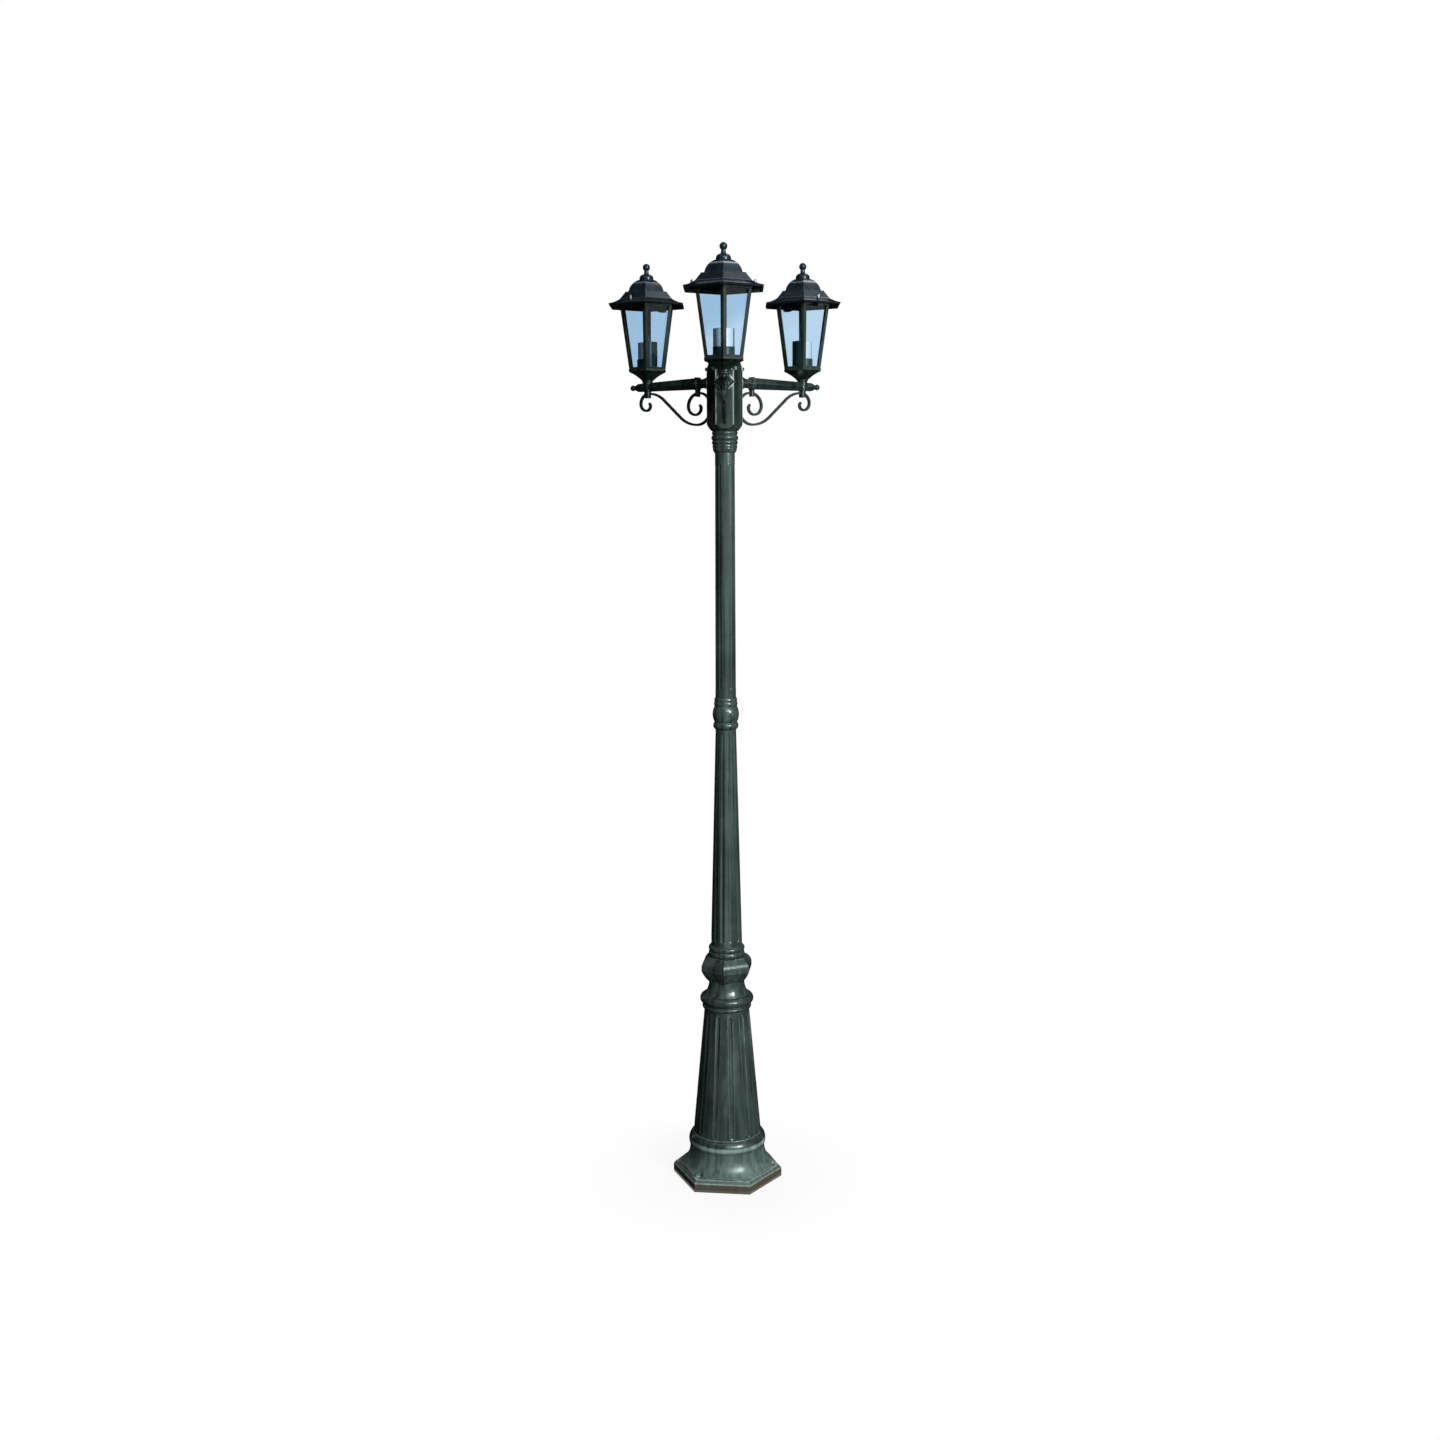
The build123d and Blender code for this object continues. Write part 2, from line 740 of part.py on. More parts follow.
def arm_face(turn, reach):
    # point on the middle line of an arm's root
    return outward(turn) * reach + Vector(0, 0, arm_root_level)


boss = hexagonal_body(boss_outline.sketch, boss_root_flat)

with BuildPart() as arm_hub:
    with BuildSketch(Plane.XY.offset(head_collar_top)):
        RegularPolygon(hub_corner_radius, 6)
    extrude(amount=hub_top - head_collar_top)
    # the foot of the prism flares in to the round collar below, which leaves an arc on each face
    with BuildSketch(Plane.XZ):
        with BuildLine():
            SagittaArc(
                (hub_flare_foot, head_collar_top),
                (hub_turned_radius, hub_foot),
                sagitta=-hub_flare_bulge,
            )
            Polyline(
                (hub_turned_radius, hub_foot),
                (hub_turned_radius, hub_top),
                (0, hub_top),
                (0, head_collar_top),
                (hub_flare_foot, head_collar_top),
            )
        make_face()
    revolve(axis=Axis.Z, mode=Mode.INTERSECT)
    with BuildSketch(Plane.XY.offset(flange_under)):
        RegularPolygon(hub_corner_radius + hub_flange_step, 6)
    extrude(amount=hub_flange_height)
    for turn in arm_turns.values():
        with Locations(Plane(arm_face(turn, 0), z_dir=outward(turn), x_dir=sideways(turn))):
            add(boss)
    # room inside for the wires, open at the top, with pillars for the cap's screws
    with BuildSketch(Plane.XY.offset(hub_room_floor)):
        RegularPolygon(hub_room_apothem / flat_share, 6)
        with PolarLocations(cap_screw_circle, 2):
            Circle(screw_pillar_radius, mode=Mode.SUBTRACT)
    extrude(amount=hub_top - hub_room_floor, mode=Mode.SUBTRACT)
    with BuildSketch(Plane.XY.offset(hub_room_floor)):
        RegularPolygon(hub_room_apothem / flat_share, 6)
    extrude(amount=hub_top - screw_pillar_height - hub_room_floor, mode=Mode.SUBTRACT)
    with BuildSketch(Plane.XY.offset(hub_top)):
        with PolarLocations(cap_screw_circle, 2):
            Circle(cap_screw_radius)
    extrude(amount=screw_pillar_floor - screw_pillar_height, mode=Mode.SUBTRACT)
    # bore for the head collar's spigot, then the narrower cable way
    with BuildSketch(Plane.XY.offset(head_collar_top)):
        Circle(hub_spigot_radius + fit_gap)
    extrude(amount=hub_spigot_length + fit_gap, mode=Mode.SUBTRACT)
    with BuildSketch(Plane.XY.offset(head_collar_top)):
        Circle(cable_way_radius)
    extrude(amount=hub_room_floor - head_collar_top + 1, mode=Mode.SUBTRACT)
    # sockets for the tenons of the arms, and the wire ways behind them
    for turn in arm_turns.values():
        with BuildSketch(Plane(arm_face(turn, arm_root), z_dir=outward(turn))):
            Circle(tenon_radius + fit_gap)
        extrude(amount=-tenon_length - fit_gap, mode=Mode.SUBTRACT)
        with BuildSketch(Plane(arm_face(turn, arm_root), z_dir=outward(turn))):
            Circle(wire_way_radius)
        extrude(amount=hub_room_apothem - arm_root - 1, mode=Mode.SUBTRACT)
arm_hub.part.label = "arm_hub"
export_step(arm_hub.part, "parts/arm_hub.step")

# ---------------------------------------------------------------- hub cap and its screws
cap_apothem = hub_cap_corner_radius * flat_share
cap_edge_top = hub_top + cap_edge_height

with BuildSketch() as cap_outline:
    with BuildLine():
        Polyline(
            (0, hub_top + hub_cap_height),
            (0, hub_top),
            (cap_apothem, hub_top),
            (cap_apothem, cap_edge_top),
        )
        SagittaArc((cap_apothem, cap_edge_top), (0, hub_top + hub_cap_height), sagitta=-cap_bulge)
    make_face()
    mirror(about=Plane.YZ)

with BuildPart() as hub_cap:
    add(hexagonal_body(cap_outline.sketch, hub_cap_corner_radius))
    with BuildSketch(Plane.XY.offset(hub_top)):
        RegularPolygon((hub_room_apothem - fit_gap) / flat_share, 6)
        with PolarLocations(cap_screw_circle, 2):
            Circle(screw_pillar_radius + fit_gap, mode=Mode.SUBTRACT)
    extrude(amount=-cap_lip_depth)
    with BuildSketch(Plane.XY.offset(hub_top - cap_lip_depth)):
        RegularPolygon((hub_room_apothem - cap_lip_width) / flat_share, 6)
    extrude(amount=cap_lip_depth + cap_edge_height / 2, mode=Mode.SUBTRACT)
    with BuildSketch(Plane.XY.offset(hub_top)):
        with PolarLocations(cap_screw_circle, 2):
            Circle(cap_screw_radius + fit_gap)
    extrude(amount=hub_cap_height, mode=Mode.SUBTRACT)
    with BuildSketch(Plane.XY.offset(hub_top + cap_seat_height)):
        with PolarLocations(cap_screw_circle, 2):
            Circle(cap_screw_head_radius + fit_gap)
    extrude(amount=hub_cap_height, mode=Mode.SUBTRACT)
hub_cap.part.label = "hub_cap"
export_step(hub_cap.part, "parts/hub_cap.step")

with BuildPart() as hub_cap_screws:
    with BuildSketch(Plane.XY.offset(hub_top + cap_seat_height)):
        with PolarLocations(cap_screw_circle, 2):
            Circle(cap_screw_head_radius)
    extrude(amount=cap_screw_head_height)
    with BuildSketch(Plane.XY.offset(hub_top + cap_seat_height)):
        with PolarLocations(cap_screw_circle, 2):
            Circle(cap_screw_radius - fit_gap / 2)
    extrude(amount=-cap_screw_length)
hub_cap_screws.part.label = "hub_cap_screws"
export_step(hub_cap_screws.part, "parts/hub_cap_screws.step")

# ---------------------------------------------------------------- terminal block
with BuildPart() as terminal_block:
    with Locations((0, hub_room_apothem - terminal_deep / 2, hub_foot + hub_height / 2)):
        Box(terminal_pitch * terminal_count, terminal_deep, terminal_tall)
    front_face = terminal_block.faces().sort_by(Axis.Y)[0]
    with BuildSketch(front_face):
        with GridLocations(terminal_pitch, terminal_tall / 2, terminal_count, 2):
            Circle(terminal_pitch / 4)
    extrude(amount=-terminal_deep / 2, mode=Mode.SUBTRACT)
terminal_block.part.label = "terminal_block"
export_step(terminal_block.part, "parts/terminal_block.step")

# ---------------------------------------------------------------- arm
# Made on the front arm, then turned about the post's axis for the other two.

def arm_section(reach, flat):
    # plane across the arm whose underside stays level
    return Plane(origin=(0, -reach, arm_under + flat / 2), z_dir=(0, -1, 0), x_dir=(1, 0, 0))


with BuildPart() as arm:
    for reach, flat in ((arm_root, arm_root_flat), (arm_tip, arm_tip_flat)):
        with BuildSketch(arm_section(reach, flat)):
            RegularPolygon(flat / 2 / flat_share, 6)
    loft(ruled=True)
    # tip: a short concave cone and a ball
    ball_start = tip_ball_reach - sqrt(tip_ball_radius**2 - tip_neck_radius**2)
    with BuildSketch(Plane(origin=(0, 0, arm_tip_level), x_dir=(0, -1, 0), z_dir=(-1, 0, 0))):
        with BuildLine():
            Polyline(
                (ball_start, tip_neck_radius),
                (ball_start, 0),
                (arm_tip - 1, 0),
                (arm_tip - 1, tip_cone_radius),
                (arm_tip, tip_cone_radius),
            )
            SagittaArc((arm_tip, tip_cone_radius), (ball_start, tip_neck_radius), sagitta=tip_cone_hollow)
        make_face()
    revolve(axis=Axis((0, 0, arm_tip_level), (0, -1, 0)))
    with Locations((0, -tip_ball_reach, arm_tip_level)):
        Sphere(tip_ball_radius)
    # boss under the lantern, level on top
    with BuildSketch(Plane.XY.offset(arm_under)):
        with Locations((0, -arm_reach)):
            Circle(tray_stem_radius + stem_lip)
    extrude(amount=arm_top - arm_under)
    with BuildSketch(Plane.XY.offset(arm_top)):
        with Locations((0, -arm_reach)):
            Circle(tray_stem_radius + stem_lip)
    extrude(amount=arm_root_flat / 2, mode=Mode.SUBTRACT)
    # tenon in the hub's boss, and the wire way through it to the lantern
    tenon_face = Plane(origin=(0, -arm_root, arm_root_level), z_dir=(0, 1, 0), x_dir=(1, 0, 0))
    with BuildSketch(tenon_face):
        Circle(tenon_radius)
    extrude(amount=tenon_length)
    with BuildSketch(tenon_face.offset(tenon_length)):
        Circle(wire_way_radius)
    extrude(amount=-tenon_length - (arm_reach - arm_root), mode=Mode.SUBTRACT)
    with Locations((0, -arm_reach, arm_under)):
        Hole(nipple_radius + fit_gap)

# ---------------------------------------------------------------- scroll
# The bar runs up the hub into an inner crown and curl, and down through a low bend and a
# long straight run to an outer crown under the lantern and its curl.
scroll_back = hub_apothem + fit_gap + scroll_thick / 2
scroll_low = arm_under - scroll_fall
scroll_high = arm_under - scroll_drop
inner_crown_foot = arm_under - scroll_inner_drop - inner_crown_radius
low_bend = Vector(scroll_back + scroll_foot_radius, scroll_low)
outer_crown = Vector(arm_reach - scroll_crown_back, scroll_high)
run = outer_crown - low_bend
# two bends and the straight run between them have to end level with each other
bends = (run.X**2 + run.Y**2 - scroll_straight**2) / (2 * run.Y)
scroll_slope = Vector(scroll_straight, bends).get_angle(Vector(run.X, bends - run.Y))
rise_radius = scroll_rise_share * bends
crown_radius = bends - rise_radius

with BuildLine() as scroll_path:
    path = Line((scroll_back, scroll_low + scroll_foot_radius), (scroll_back, inner_crown_foot))
    path = JernArc(path @ 1, path % 1, inner_crown_radius, -90)
    for radius in inner_curl_radii:
        path = JernArc(path @ 1, path % 1, radius, -90)
    JernArc(path @ 1, path % 1, inner_end_radius, -curl_end_turn)
    path = JernArc((scroll_back, scroll_low + scroll_foot_radius), (0, -1), scroll_foot_radius, 90)
    path = JernArc(path @ 1, path % 1, rise_radius, scroll_slope)
    path = Line(path @ 1, path @ 1 + (path % 1) * scroll_straight)
    path = JernArc(path @ 1, path % 1, crown_radius, -scroll_slope)
    for radius in outer_curl_radii:
        path = JernArc(path @ 1, path % 1, radius, -90)
    JernArc(path @ 1, path % 1, outer_end_radius, -curl_end_turn)

with BuildPart() as scroll:
    with BuildSketch(arm_plane):
        trace(scroll_path.line.edges(), scroll_thick)
    extrude(amount=scroll_wide / 2, both=True)

# ---------------------------------------------------------------- scroll clips
slot_width = scroll_wide + 2 * fit_gap
outer_slot_top = scroll_high + scroll_thick / 2 + fit_gap
inner_slot_top = arm_under - scroll_inner_drop + scroll_thick / 2 + fit_gap
boss_flange_under = arm_root_level - boss_flange_flat / 2


def clip(reach, radius, top, height, slot_top):
    # round clip with a slot across its foot for the bar
    with BuildPart() as body:
        with BuildSketch(Plane.XY.offset(top)):
            with Locations((0, -reach)):
                Circle(radius)
        extrude(amount=-height)
        with BuildSketch(Plane.XY.offset(slot_top)):
            with Locations((0, -reach)):
                Rectangle(slot_width, 2 * radius + 1)
        extrude(amount=-height, mode=Mode.SUBTRACT)
    return body.part


outer_clip_blank = clip(arm_reach, clip_radius, arm_under, clip_height, outer_slot_top)
inner_clip = clip(inner_clip_reach, inner_clip_radius, boss_flange_under, inner_clip_height, inner_slot_top)

with BuildPart() as outer_clip:
    add(outer_clip_blank)
    with Locations((0, -arm_reach, arm_under)):
        Hole(nipple_radius + fit_gap)

# ---------------------------------------------------------------- tray under the lantern
tray_apothem = tray_corner_radius * flat_share
funnel_foot = tray_under - tray_funnel_height

with BuildSketch() as tray_outline:
    with BuildLine():
        Polyline(
            (funnel_foot_radius, funnel_foot),
            (0, funnel_foot),
            (0, cage_foot),
            (tray_apothem, cage_foot),
            (tray_apothem, tray_under),
            (funnel_top_apothem, tray_under),
        )
        SagittaArc(
            (funnel_top_apothem, tray_under),
            (funnel_foot_radius, funnel_foot),
            sagitta=-funnel_hollow,
        )
    make_face()
    mirror(about=Plane.YZ)

with BuildPart() as tray:
    with Locations((0, -arm_reach, 0)):
        add(hexagonal_body(tray_outline.sketch, tray_corner_radius), rotation=(0, 0, 30))
    with BuildSketch(Plane((0, -arm_reach, 0), x_dir=(1, 0, 0), z_dir=(0, -1, 0))):
        with BuildLine():
            Polyline(
                (tray_stem_radius, funnel_foot - tray_waist_drop),
                (tray_stem_radius, arm_top),
                (0, arm_top),
                (0, funnel_foot),
                (funnel_foot_radius, funnel_foot),
            )
            SagittaArc(
                (funnel_foot_radius, funnel_foot),
                (tray_stem_radius, funnel_foot - tray_waist_drop),
                sagitta=tray_waist_bulge,
            )
        make_face()
    revolve(axis=Axis((0, -arm_reach, 0), (0, 0, 1)))
    with Locations((0, -arm_reach, tray_under)):
        Hole(nipple_radius + fit_gap)

# ---------------------------------------------------------------- lantern cage
cage_middle = Vector(0, -arm_reach, 0)
foot_apothem_of_cage = cage_foot_corner_radius * flat_share
cage_spread = (cage_top_corner_radius - cage_foot_corner_radius) * flat_share
cage_slant = sqrt(cage_height**2 + cage_spread**2)


def cage_face(angle):
    # Plane in the outer face of the cage that looks towards this angle: local x along its
    # foot, local y up its slope, local z outward.
    out = Vector(cos(radians(angle)), sin(radians(angle)), 0)
    up = (out * cage_spread + Vector(0, 0, cage_height)).normalized()
    along = Vector(-out.Y, out.X, 0)
    return Plane(cage_middle + out * foot_apothem_of_cage + Vector(0, 0, cage_foot), along, along.cross(up))


def half_side(climb):
    # half the width of a cage face this far up its slope
    share = climb / cage_slant
    return (cage_foot_corner_radius + share * (cage_top_corner_radius - cage_foot_corner_radius)) / 2


def face_outline(low, high, inset):
    # trapezium on a cage face between two climbs, its slanted sides inset from the corners
    Polyline(
        (-half_side(low) + inset, low),
        (half_side(low) - inset, low),
        (half_side(high) - inset, high),
        (-half_side(high) + inset, high),
        close=True,
    )


with BuildPart() as cage:
    for inset, mode in ((0, Mode.ADD), (cage_wall / flat_share, Mode.SUBTRACT)):
        with BuildPart(mode=mode):
            for level, radius in ((cage_foot, cage_foot_corner_radius), (cage_top, cage_top_corner_radius)):
                with BuildSketch(Plane.XY.offset(level)):
                    with Locations((0, -arm_reach)):
                        RegularPolygon(radius - inset, 6, rotation=30)
            loft(ruled=True)
    for k in range(6):
        with BuildSketch(cage_face(60 * k)):
            with BuildLine():
                face_outline(cage_ring_height, cage_slant - cage_ring_height, bar_width)
            make_face()
        extrude(amount=2 * cage_wall, both=True, mode=Mode.SUBTRACT)
    # ears for the roof's screws, at right angles to the arm
    for side in (-1, 1):
        with BuildSketch(Plane.XY.offset(ear_top)):
            with Locations((side * (ear_root + ear_length / 2), -arm_reach)):
                Rectangle(ear_length, ear_width)
        extrude(amount=-ear_height)
    with BuildSketch(Plane.XY.offset(ear_top)):
        with Locations((-roof_screw_circle, -arm_reach), (roof_screw_circle, -arm_reach)):
            Circle(roof_screw_shank + fit_gap)
    extrude(amount=-ear_height, mode=Mode.SUBTRACT)

# ---------------------------------------------------------------- glass
pane_inset = (cage_wall + fit_gap + pane_thick) * tan(radians(30)) + pane_margin

with BuildPart() as glass:
    for k in range(6):
        with BuildSketch(cage_face(60 * k).offset(-cage_wall - fit_gap)):
            with BuildLine():
                face_outline(0, cage_slant - pane_top_drop, pane_inset)
            make_face()
        extrude(amount=-pane_thick)

# ---------------------------------------------------------------- lamp holder, its cup and the nipple
with BuildPart() as holder_cup:
    with BuildSketch(Plane.XY.offset(cage_foot)):
        with Locations((0, -arm_reach)):
            Circle(cup_radius)
    extrude(amount=cup_sleeve_height)
    # the sleeve is cut away to the low wall, apart from the side towards the post
    with BuildSketch(Plane((0, -arm_reach, cage_foot + cup_low_height))):
        with BuildLine():
            open_side = CenterArc((0, 0), 2 * cup_radius, 90 + cup_sleeve_arc / 2, 360 - cup_sleeve_arc)
            Line(open_side @ 1, (0, 0))
            Line((0, 0), open_side @ 0)
        make_face()
    extrude(amount=cup_sleeve_height, mode=Mode.SUBTRACT)
    with BuildSketch(Plane.XY.offset(cage_foot + cup_floor)):
        with Locations((0, -arm_reach)):
            Circle(cup_radius - cup_wall)
    extrude(amount=cup_sleeve_height, mode=Mode.SUBTRACT)
    with Locations((0, -arm_reach, cage_foot)):
        Hole(nipple_radius + fit_gap)

holder_foot = cage_foot + cup_floor
socket_floor = holder_foot + holder_height - holder_socket_depth
contact_foot = socket_floor - contact_height
shell_radius = lamp_thread_radius + shell_wall

with BuildPart() as lampholder:
    with BuildSketch(Plane.XY.offset(holder_foot)):
        with Locations((0, -arm_reach)):
            Circle(holder_radius)
    extrude(amount=holder_height)
    chamfer(lampholder.edges().group_by(Axis.Z)[-1], holder_edge)
    with BuildSketch(Plane.XY.offset(socket_floor)):
        with Locations((0, -arm_reach)):
            Circle(shell_radius + fit_gap)
    extrude(amount=holder_socket_depth, mode=Mode.SUBTRACT)
    # the well that the contact lies in, level with the socket's floor
    with BuildSketch(Plane.XY.offset(contact_foot)):
        with Locations((0, -arm_reach)):
            Circle(contact_radius + fit_gap)
    extrude(amount=contact_height, mode=Mode.SUBTRACT)
    with BuildSketch(Plane.XY.offset(holder_foot)):
        with Locations((0, -arm_reach)):
            Circle(nipple_radius + fit_gap)
    extrude(amount=nipple_rise, mode=Mode.SUBTRACT)
    with Locations((0, -arm_reach, holder_foot)):
        Hole(holder_wire_hole)

with BuildPart() as screw_shell:
    with BuildSketch(Plane.XY.offset(socket_floor)):
        with Locations((0, -arm_reach)):
            Circle(shell_radius)
            Circle(lamp_thread_radius, mode=Mode.SUBTRACT)
    extrude(amount=shell_length)

with BuildPart() as centre_contact:
    with BuildSketch(Plane.XY.offset(contact_foot)):
        with Locations((0, -arm_reach)):
            Circle(contact_radius)
    extrude(amount=contact_height)

with BuildPart() as nipple:
    with BuildSketch(Plane.XY.offset(outer_slot_top)):
        with Locations((0, -arm_reach)):
            Circle(nipple_radius)
            Circle(nipple_radius - nipple_wall, mode=Mode.SUBTRACT)
    extrude(amount=holder_foot + nipple_rise - fit_gap - outer_slot_top)

# ---------------------------------------------------------------- lantern roof
brim_apothem = brim_corner_radius * flat_share
flare_apothem = flare_corner_radius * flat_share
step_apothem = step_corner_radius * flat_share
dome_apothem = dome_corner_radius * flat_share
brim_top = brim_under + brim_edge_height
flare_top = brim_top + flare_height
step_top = flare_top + step_height
dome_top = step_top + dome_height

with BuildSketch() as roof_outline:
    with BuildLine():
        # the brim is drawn a little low and trimmed later, so that its hollow opens downward
        Polyline(
            (0, dome_top),
            (0, brim_under - 2 * roof_wall),
            (brim_apothem - brim_edge_inset, brim_under - 2 * roof_wall),
            (brim_apothem - brim_edge_inset, brim_under),
            (brim_apothem, brim_top),
        )
        SagittaArc((brim_apothem, brim_top), (flare_apothem, flare_top), sagitta=flare_sag)
        Polyline(
            (flare_apothem, flare_top),
            (step_apothem, step_top - step_lip),
            (step_apothem - step_lip_inset, step_top),
            (dome_apothem, step_top),
        )
        SagittaArc((dome_apothem, step_top), (dome_top_radius, dome_top), sagitta=-dome_bulge)
        Line((dome_top_radius, dome_top), (0, dome_top))
    make_face()
    mirror(about=Plane.YZ)

with BuildSketch() as roof_hollow:
    with BuildLine():
        brim_room = brim_apothem - brim_edge_inset - roof_wall
        flare_room = flare_apothem - roof_wall / 2
        dome_room = dome_apothem - roof_wall
        dome_room_top = dome_top_radius - roof_wall / 2
        Polyline(
            (0, dome_top - roof_wall),
            (0, brim_under - 2 * roof_wall),
            (brim_room, brim_under - 2 * roof_wall),
            (brim_room, brim_under),
        )
        SagittaArc((brim_room, brim_under), (flare_room, flare_top - roof_wall), sagitta=flare_sag)
        Polyline(
            (flare_room, flare_top - roof_wall),
            (step_apothem - roof_wall, step_top - roof_wall),
            (dome_room, step_top - roof_wall),
        )
        SagittaArc(
            (dome_room, step_top - roof_wall),
            (dome_room_top, dome_top - roof_wall),
            sagitta=-dome_bulge,
        )
        Line((dome_room_top, dome_top - roof_wall), (0, dome_top - roof_wall))
    make_face()
    mirror(about=Plane.YZ)

with BuildPart() as roof_shell:
    add(hexagonal_body(roof_outline.sketch, brim_corner_radius))
    add(hexagonal_body(roof_hollow.sketch, brim_corner_radius), mode=Mode.SUBTRACT)
    split(bisect_by=Plane.XY.offset(brim_under), keep=Keep.TOP)

pad_top = flare_top - pad_drop
finial_cap_foot = dome_top + finial_cap_edge
finial_cap_top = dome_top + finial_cap_height
finial_neck_top = finial_cap_top + finial_neck_height
finial_neck_foot_radius = finial_neck_radius + finial_neck_flare
finial_ball_level = total_height - finial_ball_radius

with BuildPart() as roof:
    with Locations((0, -arm_reach, 0)):
        add(roof_shell.part, rotation=(0, 0, 30))
    # posts inside the brim that stand over the cage's ears, with pads for the screw heads
    with BuildSketch(Plane.XY.offset(brim_under)):
        with Locations((-roof_screw_circle, -arm_reach), (roof_screw_circle, -arm_reach)):
            Circle(roof_post_radius)
    extrude(amount=pad_top - brim_under)
    with BuildSketch(Plane.XY.offset(brim_under)):
        with Locations((-roof_screw_circle, -arm_reach), (roof_screw_circle, -arm_reach)):
            Circle(roof_screw_shank + fit_gap)
    extrude(amount=pad_top - brim_under, mode=Mode.SUBTRACT)
    # finial: a bell-shaped cap, a neck and a ball
    with BuildSketch(Plane((0, -arm_reach, 0), x_dir=(1, 0, 0), z_dir=(0, -1, 0))):
        with BuildLine():
            Polyline(
                (finial_neck_radius, finial_neck_top),
                (0, finial_neck_top),
                (0, dome_top - roof_wall / 2),
                (finial_cap_radius, dome_top - roof_wall / 2),
                (finial_cap_radius, finial_cap_foot),
            )
            SagittaArc(
                (finial_cap_radius, finial_cap_foot),
                (finial_neck_foot_radius, finial_cap_top),
                sagitta=-finial_cap_bulge,
            )
            SagittaArc(
                (finial_neck_foot_radius, finial_cap_top),
                (finial_neck_radius, finial_neck_top),
                sagitta=finial_neck_hollow,
            )
        make_face()
    revolve(axis=Axis((0, -arm_reach, 0), (0, 0, 1)))
    with Locations((0, -arm_reach, finial_ball_level)):
        Sphere(finial_ball_radius)

with BuildPart() as roof_screws:
    with BuildSketch(Plane.XY.offset(pad_top)):
        with Locations((-roof_screw_circle, -arm_reach), (roof_screw_circle, -arm_reach)):
            Circle(roof_screw_radius)
    extrude(amount=roof_screw_height)
    with BuildSketch(Plane.XY.offset(pad_top)):
        with Locations((-roof_screw_circle, -arm_reach), (roof_screw_circle, -arm_reach)):
            Circle(roof_screw_shank)
    extrude(amount=ear_top - ear_height - 1 - pad_top)

# ---------------------------------------------------------------- copies on the three arms
# one node for each large piece
for piece, title in (
    (arm, "arm"),
    (scroll, "scroll"),
    (tray, "tray"),
    (cage, "cage"),
    (glass, "glass"),
    (roof, "roof"),
    (roof_screws, "roof_screws"),
):
    for side, turn in arm_turns.items():
        with BuildPart() as turned:
            add(piece.part, rotation=(0, 0, turn))
        turned.part.label = f"{title}_{side}"
        export_step(turned.part, f"parts/{title}_{side}.step")

# small pieces that are alike share a node
for piece, title in (
    (outer_clip.part, "outer_clips"),
    (inner_clip, "inner_clips"),
    (holder_cup.part, "holder_cups"),
    (lampholder.part, "lampholders"),
    (screw_shell.part, "screw_shells"),
    (centre_contact.part, "centre_contacts"),
    (nipple.part, "nipples"),
):
    with BuildPart() as group:
        for turn in arm_turns.values():
            add(piece, rotation=(0, 0, turn))
    group.part.label = title
    export_step(group.part, f"parts/{title}.step")
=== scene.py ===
import json
from math import cos, radians, sin, tau

import bmesh
import bpy
from mathutils import Matrix, Vector


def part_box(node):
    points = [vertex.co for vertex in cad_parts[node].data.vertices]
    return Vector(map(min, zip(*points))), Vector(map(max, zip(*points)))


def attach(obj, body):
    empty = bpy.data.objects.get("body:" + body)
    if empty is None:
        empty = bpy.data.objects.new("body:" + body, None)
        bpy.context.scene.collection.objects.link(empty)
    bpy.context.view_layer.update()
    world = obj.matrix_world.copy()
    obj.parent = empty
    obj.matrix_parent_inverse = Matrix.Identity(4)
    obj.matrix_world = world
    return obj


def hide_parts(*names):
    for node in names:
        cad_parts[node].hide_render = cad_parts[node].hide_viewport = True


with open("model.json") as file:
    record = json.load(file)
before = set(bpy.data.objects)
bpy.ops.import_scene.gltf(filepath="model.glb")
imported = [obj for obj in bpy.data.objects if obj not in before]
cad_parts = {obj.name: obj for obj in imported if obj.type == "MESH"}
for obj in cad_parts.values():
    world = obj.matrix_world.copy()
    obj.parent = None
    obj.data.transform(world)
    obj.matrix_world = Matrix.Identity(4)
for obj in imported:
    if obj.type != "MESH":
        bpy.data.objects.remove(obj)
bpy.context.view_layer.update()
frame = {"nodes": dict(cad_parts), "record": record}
nodes = frame["nodes"]
sides = ("front", "right", "left")
print("frame loaded:", len(nodes), "nodes")


# camera, placed from the lines of the photograph
cameraLook = {
    "lens": 39.25,
    "place": (0.0258, -3.606, 1.629),
    "pitch": 8.22,  # degrees below level
    "turn": 0.59,
    "roll": 0.235,
}


def makeCamera(look):
    data = bpy.data.cameras.new("camera")
    data.lens = look["lens"]
    data.sensor_width = 36
    camera = bpy.data.objects.new("camera", data)
    camera.location = look["place"]
    camera.rotation_euler = (radians(90 - look["pitch"]), radians(look["roll"]), radians(look["turn"]))
    bpy.context.scene.collection.objects.link(camera)
    bpy.context.scene.camera = camera


makeCamera(cameraLook)
print("camera set")


# node helpers
def addNode(tree, kind, inputs=None, **settings):
    # a value in inputs is a number, a colour or another node's output
    node = tree.nodes.new(kind)
    for key, value in settings.items():
        setattr(node, key, value)
    for key, value in (inputs or {}).items():
        if isinstance(value, bpy.types.NodeSocket):
            tree.links.new(value, node.inputs[key])
        else:
            node.inputs[key].default_value = value
    return node


def newMaterial(name):
    material = bpy.data.materials.new(name)
    material.use_nodes = True
    material.node_tree.nodes.clear()
    return material, material.node_tree


def rgba(colour):
    return (*colour, 1.0)


white = rgba((1.0, 1.0, 1.0))


def mathOf(tree, operation, first, second):
    return addNode(tree, "ShaderNodeMath", {0: first, 1: second}, operation=operation).outputs[0]


def product(tree, first, second):
    return mathOf(tree, "MULTIPLY", first, second)


def total(tree, first, second):
    return mathOf(tree, "ADD", first, second)


